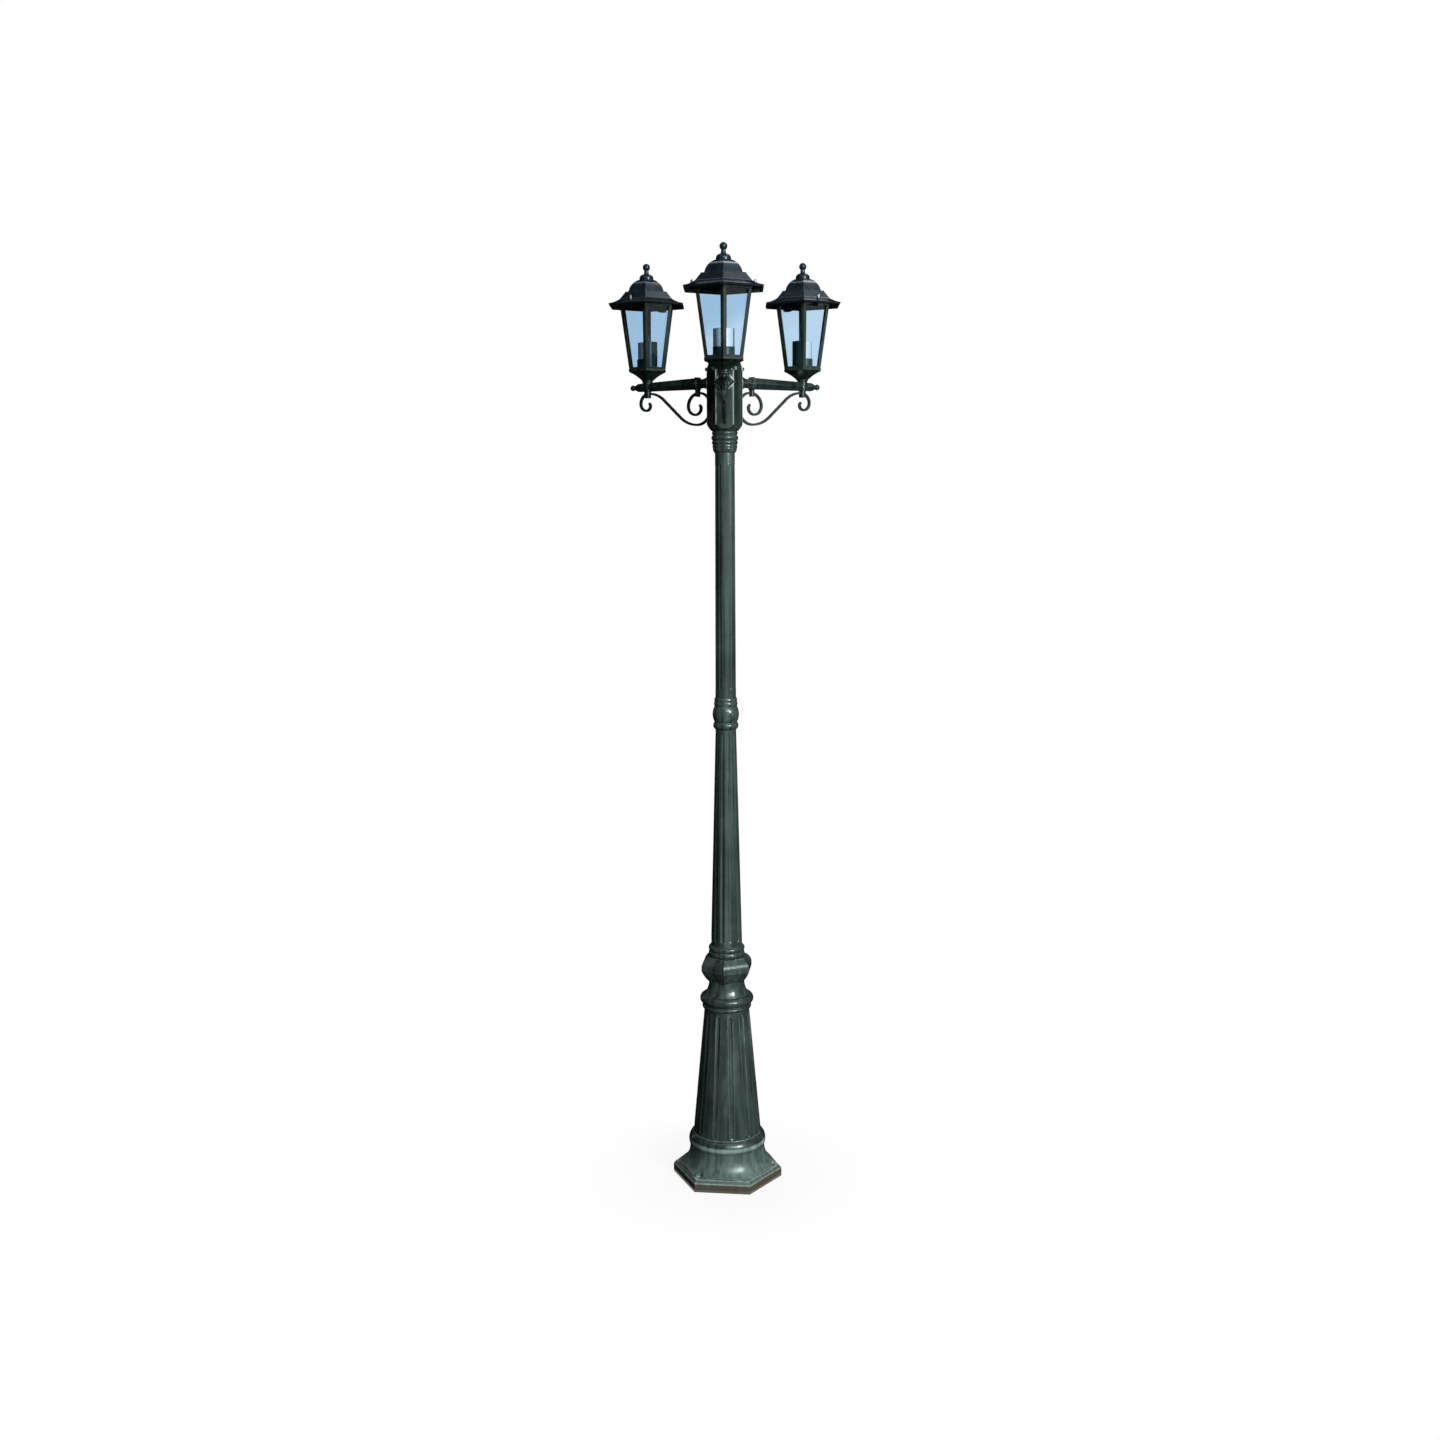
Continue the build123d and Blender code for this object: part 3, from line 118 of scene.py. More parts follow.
def objectPlace(tree):
    return addNode(tree, "ShaderNodeTexCoord").outputs["Object"]


def noiseOf(tree, place, scale, detail=3.0, rough=0.5):
    inputs = {"Vector": place, "Scale": scale, "Detail": detail, "Roughness": rough}
    return addNode(tree, "ShaderNodeTexNoise", inputs).outputs["Fac"]


def stretched(tree, place, scale):
    return addNode(tree, "ShaderNodeMapping", {"Vector": place, "Scale": scale}).outputs["Vector"]


def between(tree, value, low, high, outLow=0.0, outHigh=1.0):
    # value carried from low..high to outLow..outHigh and held at the ends
    inputs = {"Value": value, "From Min": low, "From Max": high, "To Min": outLow, "To Max": outHigh}
    return addNode(tree, "ShaderNodeMapRange", inputs, interpolation_type="SMOOTHSTEP").outputs["Result"]


def bandAt(tree, value, middle, half, soft):
    # 1 within half of the middle, fading out over soft
    low = between(tree, value, middle - half - soft, middle - half)
    high = between(tree, value, middle + half + soft, middle + half)
    return product(tree, low, high)


def blendColours(tree, share, first, second):
    mix = addNode(tree, "ShaderNodeMix", data_type="RGBA")
    for key, value in ((0, share), (6, first), (7, second)):
        if isinstance(value, bpy.types.NodeSocket):
            tree.links.new(value, mix.inputs[key])
        else:
            mix.inputs[key].default_value = value if key == 0 else rgba(value)
    return mix.outputs[2]


def mixShaders(tree, share, first, second):
    return addNode(tree, "ShaderNodeMixShader", {0: share, 1: first, 2: second}).outputs[0]


def bumpOf(tree, height, strength, depth, **more):
    inputs = {"Strength": strength, "Distance": depth, "Height": height, **more}
    return addNode(tree, "ShaderNodeBump", inputs).outputs["Normal"]


def finishWith(tree, shader, kind="ShaderNodeOutputMaterial"):
    out = addNode(tree, kind)
    tree.links.new(shader, out.inputs["Surface"])


# studio
studioLook = {
    "floorColour": (0.86, 0.86, 0.86),
    "bounceColour": (0.15, 0.15, 0.15),  # what the floor sends up to the object
    "floorSize": 14.0,
    "floorSteps": 8,
    "shadowShare": 0.10,  # how much of the floor's shade the camera sees
    "shadowSpan": (0.10, 0.45),  # distances from the post over which it fades
    "fillLevel": 0.07,
    "aim": (0.0, 0.0, 1.25),
    "cardColour": (0.01, 0.01, 0.01),
}

# each lamp: place, width, height, power, and whether gloss shows it
lampLook = {
    "softBox": ((4.4, -10.1, 7.4), 10.0, 4.4, 480.0, True),
    "coreLamp": ((4.2, -9.7, 5.6), 3.0, 1.6, 230.0, True),
    "keyLamp": ((3.2, -3.9, 2.7), 1.0, 1.2, 200.0, True),
    "crownRight": ((1.35, 1.3, 5.0), 0.8, 0.8, 12.0, True),
    "crownLeft": ((-1.25, 1.3, 5.0), 0.7, 0.7, 4.0, True),
    "backLamp": ((-2.5, 8.5, 4.5), 4.0, 3.0, 320.0, False),  # lights the back, no bright rims in front
}

# dark cards that only gloss reflects: middle, width, height, lean from level and turn about Z
cardLook = {
    "backCard": ((0.0, 3.6, 2.4), 8.0, 6.0, 90.0, 0.0),
    "leftCard": ((-3.9, -1.0, 2.4), 8.0, 6.0, 90.0, 90.0),
    "rightCard": ((4.3, 1.6, 2.4), 5.0, 6.0, 90.0, 90.0),
    "frontCard": ((-2.3, -4.8, 2.4), 4.0, 6.0, 90.0, 0.0),
    "topCard": ((-2.0, 1.0, 5.2), 6.4, 6.0, 0.0, 0.0),
    "leftMat": ((-2.8, -2.0, 0.004), 5.0, 8.0, 0.0, 0.0),
    "rightMat": ((3.7, -2.0, 0.004), 4.4, 8.0, 0.0, 0.0),
    "backMat": ((0.0, 2.6, 0.006), 12.0, 7.2, 0.0, 0.0),
}


def areaLamp(name, aim, place, width, height, power, inGloss):
    data = bpy.data.lights.new(name, "AREA")
    data.shape = "RECTANGLE"
    data.energy = power
    data.size = width
    data.size_y = height
    lamp = bpy.data.objects.new(name, data)
    lamp.location = place
    lamp.rotation_euler = (Vector(aim) - Vector(place)).to_track_quat("-Z", "Y").to_euler()
    lamp.visible_glossy = inGloss
    bpy.context.scene.collection.objects.link(lamp)


def stageGrid(name, material, size, steps=1, matrix=Matrix()):
    # a flat sheet that reaches size to each side; the matrix stretches, leans and places it
    mesh = bpy.data.meshes.new(name)
    shape = bmesh.new()
    bmesh.ops.create_grid(shape, x_segments=steps, y_segments=steps, size=size, matrix=matrix)
    shape.to_mesh(mesh)
    shape.free()
    mesh.materials.append(material)
    sheet = bpy.data.objects.new(name, mesh)
    bpy.context.scene.collection.objects.link(sheet)
    return sheet


def darkCard(name, material, middle, width, height, lean, turn):
    stand = Matrix.Translation(middle) @ Matrix.Rotation(radians(turn), 4, "Z")
    stand = stand @ Matrix.Rotation(radians(lean), 4, "X") @ Matrix.Diagonal((width, height, 1.0, 1.0))
    card = stageGrid(name, material, size=0.5, matrix=stand)
    card.visible_camera = False
    card.visible_diffuse = False
    card.visible_transmission = False
    card.visible_shadow = False


def seenDirectly(tree):
    # 1 for rays from the camera and for what metal and glass show
    ray = addNode(tree, "ShaderNodeLightPath").outputs
    seen = mathOf(tree, "MAXIMUM", ray["Is Camera Ray"], ray["Is Glossy Ray"])
    return mathOf(tree, "MAXIMUM", seen, ray["Is Transmission Ray"])


def makeWorld(look):
    world = bpy.data.worlds.new("studio")
    bpy.context.scene.world = world
    world.use_nodes = True
    tree = world.node_tree
    tree.nodes.clear()
    fill = addNode(tree, "ShaderNodeBackground", {"Color": white, "Strength": look["fillLevel"]})
    shown = addNode(tree, "ShaderNodeBackground", {"Color": white, "Strength": 1.0})
    mix = mixShaders(tree, seenDirectly(tree), fill.outputs[0], shown.outputs[0])
    finishWith(tree, mix, "ShaderNodeOutputWorld")


def floorPaper(look):
    # white to the eye, with a trace of the object's shadow round its foot
    material, tree = newMaterial("floorPaper")
    ray = addNode(tree, "ShaderNodeLightPath").outputs
    colour = blendColours(tree, ray["Is Camera Ray"], look["bounceColour"], look["floorColour"])
    paper = addNode(tree, "ShaderNodeBsdfDiffuse", {"Color": colour})
    glow = addNode(tree, "ShaderNodeEmission", {"Color": white, "Strength": 1.0})
    away = addNode(tree, "ShaderNodeVectorMath", {0: objectPlace(tree)}, operation="LENGTH")
    far = between(tree, away.outputs["Value"], *look["shadowSpan"], 1.0 - look["shadowShare"], 1.0)
    share = product(tree, far, seenDirectly(tree))
    finishWith(tree, mixShaders(tree, share, paper.outputs[0], glow.outputs[0]))
    return material


def makeStudio(look, lamps, cards):
    makeWorld(look)
    stageGrid("floor", floorPaper(look), look["floorSize"], look["floorSteps"])
    for name, lamp in lamps.items():
        areaLamp(name, look["aim"], *lamp)
    black, tree = newMaterial("cardBlack")
    dull = addNode(tree, "ShaderNodeBsdfDiffuse", {"Color": rgba(look["cardColour"])})
    finishWith(tree, dull.outputs[0])
    for name, card in cards.items():
        darkCard(name, black, *card)
    bpy.context.scene.view_settings.view_transform = "Standard"


makeStudio(studioLook, lampLook, cardLook)
print("studio lit")


# painted castings: a dark green over black, lighter along the raised edges, where rubbed paint and painted
# edge highlights are drawn in one tone
# the grain they all share: a scale is noise per metre, a span the noise values where an effect
# starts and ends
castingGrain = {
    "streakScale": (90.0, 90.0, 3.0),  # fine across, long up the post
    "streakShare": 0.65,
    "cloudShare": 0.35,
    "mottleSpan": (0.36, 0.64),
    "roughSpan": (0.3, 0.7),
    "edgeSpan": (0.985, 0.90),  # how well the rounded normal agrees with the flat one
    "speckleScale": 160.0,
    "speckleSpan": (0.38, 0.62),
    "sandScale": 620.0,
    "sandShare": 0.35,
    "peelScale": 90.0,
    "peelShare": 0.65,
    "reliefDepth": 0.0006,
}

# what the foot has besides: a painted highlight over the bell and the bead's lower half, painted highlight
# lines, and a painted reflection of brown ground low down
footTones = {
    # painted highlight: a pale teal over the bead's lower half, the bell and all below them
    "bellHighlightTone": (0.190, 0.280, 0.260),
    "bellHighlightTop": 0.098,
    "bellHighlightFade": 0.004,
    "bellHighlightShare": 0.55,
    "bellHighlightLeast": 0.45,
    "bellHighlightRough": 0.28,
    # painted highlights: pale lines round the foot that stand in for glints on its rounded edges
    # height, half width, fade and strength
    "highlightLines": (
        (0.0935, 0.0025, 0.0040, 0.55),  # round the bead
        (0.0205, 0.0009, 0.0008, 0.90),  # top edge of the side
        (0.0282, 0.0004, 0.0006, 0.60),  # top of the bevel
    ),
    "lineSpan": (0.3, 0.6),
    "lineLeast": 0.5,
    # painted reflection: a brown tone low on the foot that stands in for the brown ground it mirrored
    "brownReflectionTone": (0.100, 0.072, 0.050),
    "brownReflectionTop": 0.032,  # the painted reflection of brown ground begins below this height
    "brownReflectionFull": 0.010,  # and covers all below this one
    "brownReflectionSpan": (0.3, 0.6),
    "brownReflectionLeast": 0.55,
}

# painted highlights: pale lines down the hub's corners, from top to bottom
hubCornerHighlights = {
    "reach": 0.0408,  # from the post's axis
    "half": 0.0007,
    "fade": 0.0009,
    "streakSpan": (0.35, 0.55),
    "least": 0.4,
    "most": 0.95,
}

castingLooks = {
    "footPaint": {
        "deep": (0.020, 0.031, 0.030),
        "light": (0.050, 0.074, 0.069),
        "rubbedAndHighlight": (0.420, 0.600, 0.560),
        "cloudScale": 16.0,
        "edgeRadius": 0.002,
        "wearAndHighlightShare": 0.95,
        "wearAndHighlightLeast": 0.55,  # along an edge, the least share where the speckle breaks the mark
        "roughLow": 0.12,
        "roughHigh": 0.26,
        "relief": 0.25,
        "gloss": 0.5,
        "glossTint": (0.8, 1.0, 0.95),
        "footTones": footTones,
    },
    "postPaint": {
        "deep": (0.020, 0.033, 0.030),
        "light": (0.066, 0.098, 0.090),
        "rubbedAndHighlight": (0.200, 0.280, 0.260),
        "cloudScale": 14.0,
        "edgeRadius": 0.0015,
        "wearAndHighlightShare": 0.3,
        "wearAndHighlightLeast": 0.0,
        "roughLow": 0.12,
        "roughHigh": 0.24,
        "relief": 0.2,
        "gloss": 0.5,
        "glossTint": (0.82, 1.0, 0.96),
    },
    "hubPaint": {
        "deep": (0.009, 0.015, 0.014),
        "light": (0.038, 0.060, 0.053),
        "rubbedAndHighlight": (0.420, 0.530, 0.500),
        "cloudScale": 18.0,
        "edgeRadius": 0.0015,
        "wearAndHighlightShare": 0.9,
        "wearAndHighlightLeast": 0.0,
        "roughLow": 0.1,
        "roughHigh": 0.22,
        "relief": 0.45,
        "gloss": 0.4,
        "glossTint": (0.8, 1.0, 0.97),
        "corners": hubCornerHighlights,
    },
    "armPaint": {
        "deep": (0.006, 0.011, 0.011),
        "light": (0.020, 0.034, 0.033),
        "rubbedAndHighlight": (0.240, 0.310, 0.300),
        "cloudScale": 18.0,
        "edgeRadius": 0.0015,
        "wearAndHighlightShare": 0.5,
        "wearAndHighlightLeast": 0.0,
        "roughLow": 0.1,
        "roughHigh": 0.22,
        "relief": 0.45,
        "gloss": 0.3,
        "glossTint": (0.8, 1.0, 0.97),
    },
    "scrollPaint": {
        "deep": (0.010, 0.016, 0.016),
        "light": (0.026, 0.038, 0.035),
        "rubbedAndHighlight": (0.150, 0.190, 0.180),
        "cloudScale": 30.0,
        "edgeRadius": 0.0014,
        "wearAndHighlightShare": 0.4,
        "wearAndHighlightLeast": 0.0,
        "roughLow": 0.2,
        "roughHigh": 0.34,
        "relief": 0.3,
        "gloss": 0.3,
        "glossTint": (0.85, 1.0, 0.98),
    },
    "cagePaint": {
        "deep": (0.008, 0.014, 0.013),
        "light": (0.026, 0.042, 0.036),
        "rubbedAndHighlight": (0.120, 0.160, 0.150),
        "cloudScale": 26.0,
        "edgeRadius": 0.0010,
        "wearAndHighlightShare": 0.3,
        "wearAndHighlightLeast": 0.0,
        "roughLow": 0.14,
        "roughHigh": 0.28,
        "relief": 0.2,
        "gloss": 0.4,
        "glossTint": (0.82, 1.0, 0.96),
    },
    # dark blue-black paint whose blue cast is partly its own and partly a painted reflection of the sky
    "roofPaint": {
        "deep": (0.005, 0.010, 0.017),
        "light": (0.013, 0.024, 0.036),
        "rubbedAndHighlight": (0.140, 0.180, 0.200),
        "cloudScale": 20.0,
        "edgeRadius": 0.0015,
        "wearAndHighlightShare": 0.3,
        "wearAndHighlightLeast": 0.0,
        "roughLow": 0.14,
        "roughHigh": 0.24,
        "relief": 0.2,
        "gloss": 0.4,
        "glossTint": (0.72, 0.9, 1.0),
    },
    "cupPaint": {
        "deep": (0.016, 0.034, 0.030),
        "light": (0.030, 0.056, 0.050),
        "rubbedAndHighlight": (0.100, 0.160, 0.140),
        "cloudScale": 40.0,
        "edgeRadius": 0.0008,
        "wearAndHighlightShare": 0.25,
        "wearAndHighlightLeast": 0.0,
        "roughLow": 0.24,
        "roughHigh": 0.36,
        "relief": 0.2,
        "gloss": 0.3,
        "glossTint": (0.8, 1.0, 0.94),
    },
}


def sharedNoise(tree, first, firstShare, second, secondShare):
    return total(tree, product(tree, first, firstShare), product(tree, second, secondShare))


# lighter edges: rubbed paint, and on the foot and the hub mostly painted highlights that stand in for glints
# on the edges
def edgeWearAndHighlight(tree, place, rounded, look, grain):
    # an edge is where the rounded normal leaves the flat one
    flat = addNode(tree, "ShaderNodeNewGeometry").outputs["Normal"]
    facing = addNode(tree, "ShaderNodeVectorMath", {0: rounded, 1: flat}, operation="DOT_PRODUCT")
    edge = between(tree, facing.outputs["Value"], *grain["edgeSpan"])
    speckle = noiseOf(tree, place, grain["speckleScale"], detail=4.0, rough=0.65)
    patches = between(tree, speckle, *grain["speckleSpan"], look["wearAndHighlightLeast"], 1.0)
    return product(tree, product(tree, edge, patches), look["wearAndHighlightShare"])


def footFinish(tree, place, noises, colour, rough, look, grain):
    tones = look["footTones"]
    clouds, streaks, mottle = noises
    height = addNode(tree, "ShaderNodeSeparateXYZ", {0: place}).outputs["Z"]
    # painted highlight over the bell and the bead's lower half, broken by the mottle
    bellHighlightFoot = tones["bellHighlightTop"] - tones["bellHighlightFade"]
    bellHighlight = between(tree, height, tones["bellHighlightTop"], bellHighlightFoot, 0.0, tones["bellHighlightShare"])
    bellHighlight = product(tree, bellHighlight, between(tree, mottle, *grain["mottleSpan"], tones["bellHighlightLeast"], 1.0))
    colour = blendColours(tree, bellHighlight, colour, tones["bellHighlightTone"])
    # painted highlight lines at set heights, broken by the streaks
    broken = between(tree, streaks, *tones["lineSpan"], tones["lineLeast"], 1.0)
    for middle, half, fade, strength in tones["highlightLines"]:
        line = product(tree, bandAt(tree, height, middle, half, fade), strength)
        colour = blendColours(tree, product(tree, line, broken), colour, look["rubbedAndHighlight"])
    # painted reflection of brown ground, turning the foot's lowest part brown
    brownReflection = between(tree, height, tones["brownReflectionTop"], tones["brownReflectionFull"])
    brownReflection = product(tree, brownReflection, between(tree, clouds, *tones["brownReflectionSpan"], tones["brownReflectionLeast"], 1.0))
    colour = blendColours(tree, brownReflection, colour, tones["brownReflectionTone"])
    # the painted highlight's zone is also made rougher
    rough = total(tree, rough, product(tree, bellHighlight, tones["bellHighlightRough"]))
    return colour, rough


def cornerHighlight(tree, place, streaks, corners):
    # found by the distance from the post's axis
    level = addNode(tree, "ShaderNodeVectorMath", {0: place, 1: (1, 1, 0)}, operation="MULTIPLY")
    reach = addNode(tree, "ShaderNodeVectorMath", {0: level.outputs["Vector"]}, operation="LENGTH")
    band = bandAt(tree, reach.outputs["Value"], corners["reach"], corners["half"], corners["fade"])
    broken = between(tree, streaks, *corners["streakSpan"], corners["least"], corners["most"])
    return product(tree, band, broken)


def paintedCasting(name, look, grain):
    material, tree = newMaterial(name)
    place = objectPlace(tree)
    clouds = noiseOf(tree, place, look["cloudScale"], detail=5.0, rough=0.6)
    streaks = noiseOf(tree, stretched(tree, place, grain["streakScale"]), scale=1.0)
    mottle = sharedNoise(tree, clouds, grain["cloudShare"], streaks, grain["streakShare"])
    colour = blendColours(tree, between(tree, mottle, *grain["mottleSpan"]), look["deep"], look["light"])
    rounded = addNode(tree, "ShaderNodeBevel", {"Radius": look["edgeRadius"]}, samples=4).outputs["Normal"]
    # rubbed paint and painted edge highlights, in one tone
    lighterShare = edgeWearAndHighlight(tree, place, rounded, look, grain)
    colour = blendColours(tree, lighterShare, colour, look["rubbedAndHighlight"])
    rough = between(tree, mottle, *grain["roughSpan"], look["roughHigh"], look["roughLow"])
    if "footTones" in look:
        colour, rough = footFinish(tree, place, (clouds, streaks, mottle), colour, rough, look, grain)
    if "corners" in look:
        # painted highlight lines down the hub's corners
        lighterShare = cornerHighlight(tree, place, streaks, look["corners"])
        colour = blendColours(tree, lighterShare, colour, look["rubbedAndHighlight"])

    sand = noiseOf(tree, place, grain["sandScale"], detail=2.0)
    peel = noiseOf(tree, place, grain["peelScale"])
    relief = sharedNoise(tree, sand, grain["sandShare"], peel, grain["peelShare"])
    inputs = {
        "Base Color": colour,
        "Roughness": rough,
        "Specular IOR Level": look["gloss"],
        "Specular Tint": rgba(look["glossTint"]),
        "Normal": bumpOf(tree, relief, look["relief"], grain["reliefDepth"], Normal=rounded),
    }
    finishWith(tree, addNode(tree, "ShaderNodeBsdfPrincipled", inputs).outputs[0])
    return material


# clear glass with a faint blue cast, and a painted reflection that makes it paler below a slanting line
# towards the foot of the pane
glassLook = {
    "upper": (0.765, 0.860, 0.935),
    # painted reflection: the paler tint below the slanting line
    "lower": (0.835, 0.910, 0.970),
    "lean": 0.5,  # the line between them climbs this much for each step towards +X
    "fade": (-0.012, 0.03),  # from the pane's middle
    "wobble": 0.03,
    "wobbleScale": 18.0,
    "rippleScale": 30.0,
    "ripple": 0.06,
    "rippleDepth": 0.001,
    "mirror": 0.35,
    "rough": 0.02,
    "ior": 1.5,
}


def paneGlass(look):
    material, tree = newMaterial("paneGlass")
    place = objectPlace(tree)
    low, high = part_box("glass_front")
    middle = (low.z + high.z) / 2
    axes = addNode(tree, "ShaderNodeSeparateXYZ", {0: place}).outputs
    height = mathOf(tree, "SUBTRACT", axes["Z"], product(tree, axes["X"], look["lean"]))
    wobble = product(tree, noiseOf(tree, place, look["wobbleScale"], detail=1.0), look["wobble"])
    fadeLow, fadeHigh = look["fade"]
    # painted reflection: share of the paler tint, by height along the slant
    share = between(tree, total(tree, height, wobble), middle + fadeLow, middle + fadeHigh)
    tint = blendColours(tree, share, look["lower"], look["upper"])
    clear = addNode(tree, "ShaderNodeBsdfTransparent", {"Color": tint})
    ripple = noiseOf(tree, place, look["rippleScale"], detail=1.0)
    normal = bumpOf(tree, ripple, look["ripple"], look["rippleDepth"])
    inputs = {"Color": white, "Roughness": look["rough"], "Normal": normal}
    shine = addNode(tree, "ShaderNodeBsdfGlossy", inputs)
    facing = addNode(tree, "ShaderNodeFresnel", {"IOR": look["ior"], "Normal": normal})
    share = product(tree, facing.outputs[0], look["mirror"])
    finishWith(tree, mixShaders(tree, share, clear.outputs[0], shine.outputs[0]))
    return material


# white lamp holders and the terminal block
plasticGrain = {
    "cloudScale": 45.0,
    "cloudSpan": (0.35, 0.7),
    "roughScale": 240.0,
    "roughSpan": (0.3, 0.7),
    "roughSpread": 0.06,
    "pitScale": 900.0,
    "pits": 0.12,
    "pitDepth": 0.0003,
}

plasticLooks = {
    "holderWhite": {"colour": (0.94, 0.93, 0.90), "shade": (0.88, 0.87, 0.84), "rough": 0.34},
    "terminalWhite": {"colour": (0.80, 0.80, 0.76), "shade": (0.70, 0.70, 0.65), "rough": 0.50},
}


def mouldedPlastic(name, look, grain):
    material, tree = newMaterial(name)
    place = objectPlace(tree)
    clouds = noiseOf(tree, place, grain["cloudScale"], detail=4.0, rough=0.6)
    colour = blendColours(tree, between(tree, clouds, *grain["cloudSpan"]), look["colour"], look["shade"])
    smears = noiseOf(tree, place, grain["roughScale"], detail=2.0)
    low, high = look["rough"] - grain["roughSpread"], look["rough"] + grain["roughSpread"]
    pits = noiseOf(tree, place, grain["pitScale"], detail=2.0)
    inputs = {
        "Base Color": colour,
        "Roughness": between(tree, smears, *grain["roughSpan"], low, high),
        "Normal": bumpOf(tree, pits, grain["pits"], grain["pitDepth"]),
    }
    finishWith(tree, addNode(tree, "ShaderNodeBsdfPrincipled", inputs).outputs[0])
    return material


# plain metal with fine turning marks and dull patches
metalGrain = {
    "patchSpan": (0.35, 0.65),
    "markScale": (300.0, 300.0, 5200.0),
    "markSpan": (0.3, 0.7),
    "marks": 0.15,
    "markDepth": 0.0002,
}

metalLooks = {
    "darkScrew": {
        "colour": (0.34, 0.34, 0.33),
        "dull": (0.16, 0.16, 0.155),
        "patchScale": 320.0,
        "roughLow": 0.22,
        "roughHigh": 0.42,
    },
    "shellBrass": {
        "colour": (0.72, 0.53, 0.24),
        "dull": (0.46, 0.31, 0.13),
        "patchScale": 140.0,
        "roughLow": 0.20,
        "roughHigh": 0.38,
    },
    "zincPlate": {
        "colour": (0.62, 0.61, 0.58),
        "dull": (0.44, 0.43, 0.40),
        "patchScale": 220.0,
        "roughLow": 0.26,
        "roughHigh": 0.44,
    },
}


def turnedMetal(name, look, grain):
    material, tree = newMaterial(name)
    place = objectPlace(tree)
    patches = noiseOf(tree, place, look["patchScale"], detail=4.0, rough=0.6)
    colour = blendColours(tree, between(tree, patches, *grain["patchSpan"]), look["colour"], look["dull"])
    marks = noiseOf(tree, stretched(tree, place, grain["markScale"]), scale=1.0, detail=2.0)
    inputs = {
        "Base Color": colour,
        "Metallic": 1.0,
        "Roughness": between(tree, marks, *grain["markSpan"], look["roughLow"], look["roughHigh"]),
        "Normal": bumpOf(tree, marks, grain["marks"], grain["markDepth"]),
    }
    finishWith(tree, addNode(tree, "ShaderNodeBsdfPrincipled", inputs).outputs[0])
    return material


materials = {name: paintedCasting(name, look, castingGrain) for name, look in castingLooks.items()}
materials.update({name: mouldedPlastic(name, look, plasticGrain) for name, look in plasticLooks.items()})
materials.update({name: turnedMetal(name, look, metalGrain) for name, look in metalLooks.items()})
materials["paneGlass"] = paneGlass(glassLook)

# the record's slots and the finish that each takes
slotFinish = {
    "foot_paint": "footPaint",
    "post_paint": "postPaint",
    "scroll_paint": "scrollPaint",
    "cage_paint": "cagePaint",
    "cup_paint": "cupPaint",
    "roof_paint": "roofPaint",
    "glass": "paneGlass",
    "screws": "darkScrew",
    "holder_white": "holderWhite",
    "terminal_white": "terminalWhite",
    "contact_brass": "shellBrass",
    "plated_steel": "zincPlate",
}

# pieces painted darker than the rest of the post
darkerPieces = {"arm_hub": "hubPaint", "hub_cap": "hubPaint"}
darkerPieces.update({"arm_" + side: "armPaint" for side in sides})

for part in frame["record"]["subparts"]:
    finish = darkerPieces.get(part["node"], slotFinish[part["material_slot"]])
    mesh = nodes[part["node"]].data
    mesh.materials.clear()
    mesh.materials.append(materials[finish])
print("finishes made:", len(materials))


# small pieces that stand for plainer ones of the model
def ringOf(shape, middle, radius, height, steps, ridges=0, ridgeDepth=0.0):
    if radius == 0:
        return [shape.verts.new((*middle, height))]
    ring = []
    for step in range(steps):
        angle = tau * step / steps
        reach = radius - ridgeDepth * (0.5 - 0.5 * cos(ridges * angle))
        ring.append(shape.verts.new((middle[0] + reach * cos(angle), middle[1] + reach * sin(angle), height)))
    return ring


def joinRings(shape, lower, upper):
    # a ring of one vertex closes the end with triangles
    count = max(len(lower), len(upper))
    for step in range(count):
        after = (step + 1) % count
        below = [lower[step % len(lower)], lower[after % len(lower)]]
        above = [upper[after % len(upper)], upper[step % len(upper)]]
        shape.faces.new(list(dict.fromkeys(below + above)))


def turn(shape, middle, profile, steps, closed=False):
    # profile: radius and height of each ring, with ridges and their depth where it is knurled
    rings = [ringOf(shape, middle, line[0], line[1], steps, *line[2:]) for line in profile]
    for lower, upper in zip(rings, rings[1:]):
        joinRings(shape, lower, upper)
    if closed:
        joinRings(shape, rings[-1], rings[0])


def pieceFrom(name, shape, material, body, replaced, crease=35):
    bmesh.ops.recalc_face_normals(shape, faces=shape.faces)
    mesh = bpy.data.meshes.new(name)
    shape.to_mesh(mesh)
    shape.free()
    mesh.shade_smooth()
    mesh.set_sharp_from_angle(angle=radians(crease))
    mesh.materials.append(materials[material])
    piece = bpy.data.objects.new(name, mesh)
    bpy.context.scene.collection.objects.link(piece)
    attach(piece, body)
    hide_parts(replaced)
    return piece


def cutSlots(piece, middles, top, look):
    # a screwdriver slot across each screw head
    length = 3 * look["headRadius"]  # past both sides of the head
    shape = bmesh.new()
    for (x, y), angle in zip(middles, look["slotTurns"]):
        place = Matrix.Translation((x, y, top)) @ Matrix.Rotation(angle, 4, "Z")
        place = place @ Matrix.Diagonal((length, look["slotWidth"], 2 * look["slotDepth"], 1.0))
        bmesh.ops.create_cube(shape, size=1.0, matrix=place)
    mesh = bpy.data.meshes.new("cutter")
    shape.to_mesh(mesh)
    shape.free()
    cutter = bpy.data.objects.new("cutter", mesh)
    bpy.context.scene.collection.objects.link(cutter)
    change = piece.modifiers.new("slot", "BOOLEAN")
    change.operation = "DIFFERENCE"
    change.solver = "EXACT"
    change.object = cutter
    view = bpy.context.evaluated_depsgraph_get()
    made = bpy.data.meshes.new_from_object(piece.evaluated_get(view))
    piece.modifiers.clear()
    old = piece.data
    piece.data = made
    bpy.data.meshes.remove(old)
    bpy.data.objects.remove(cutter)
    bpy.data.meshes.remove(mesh)


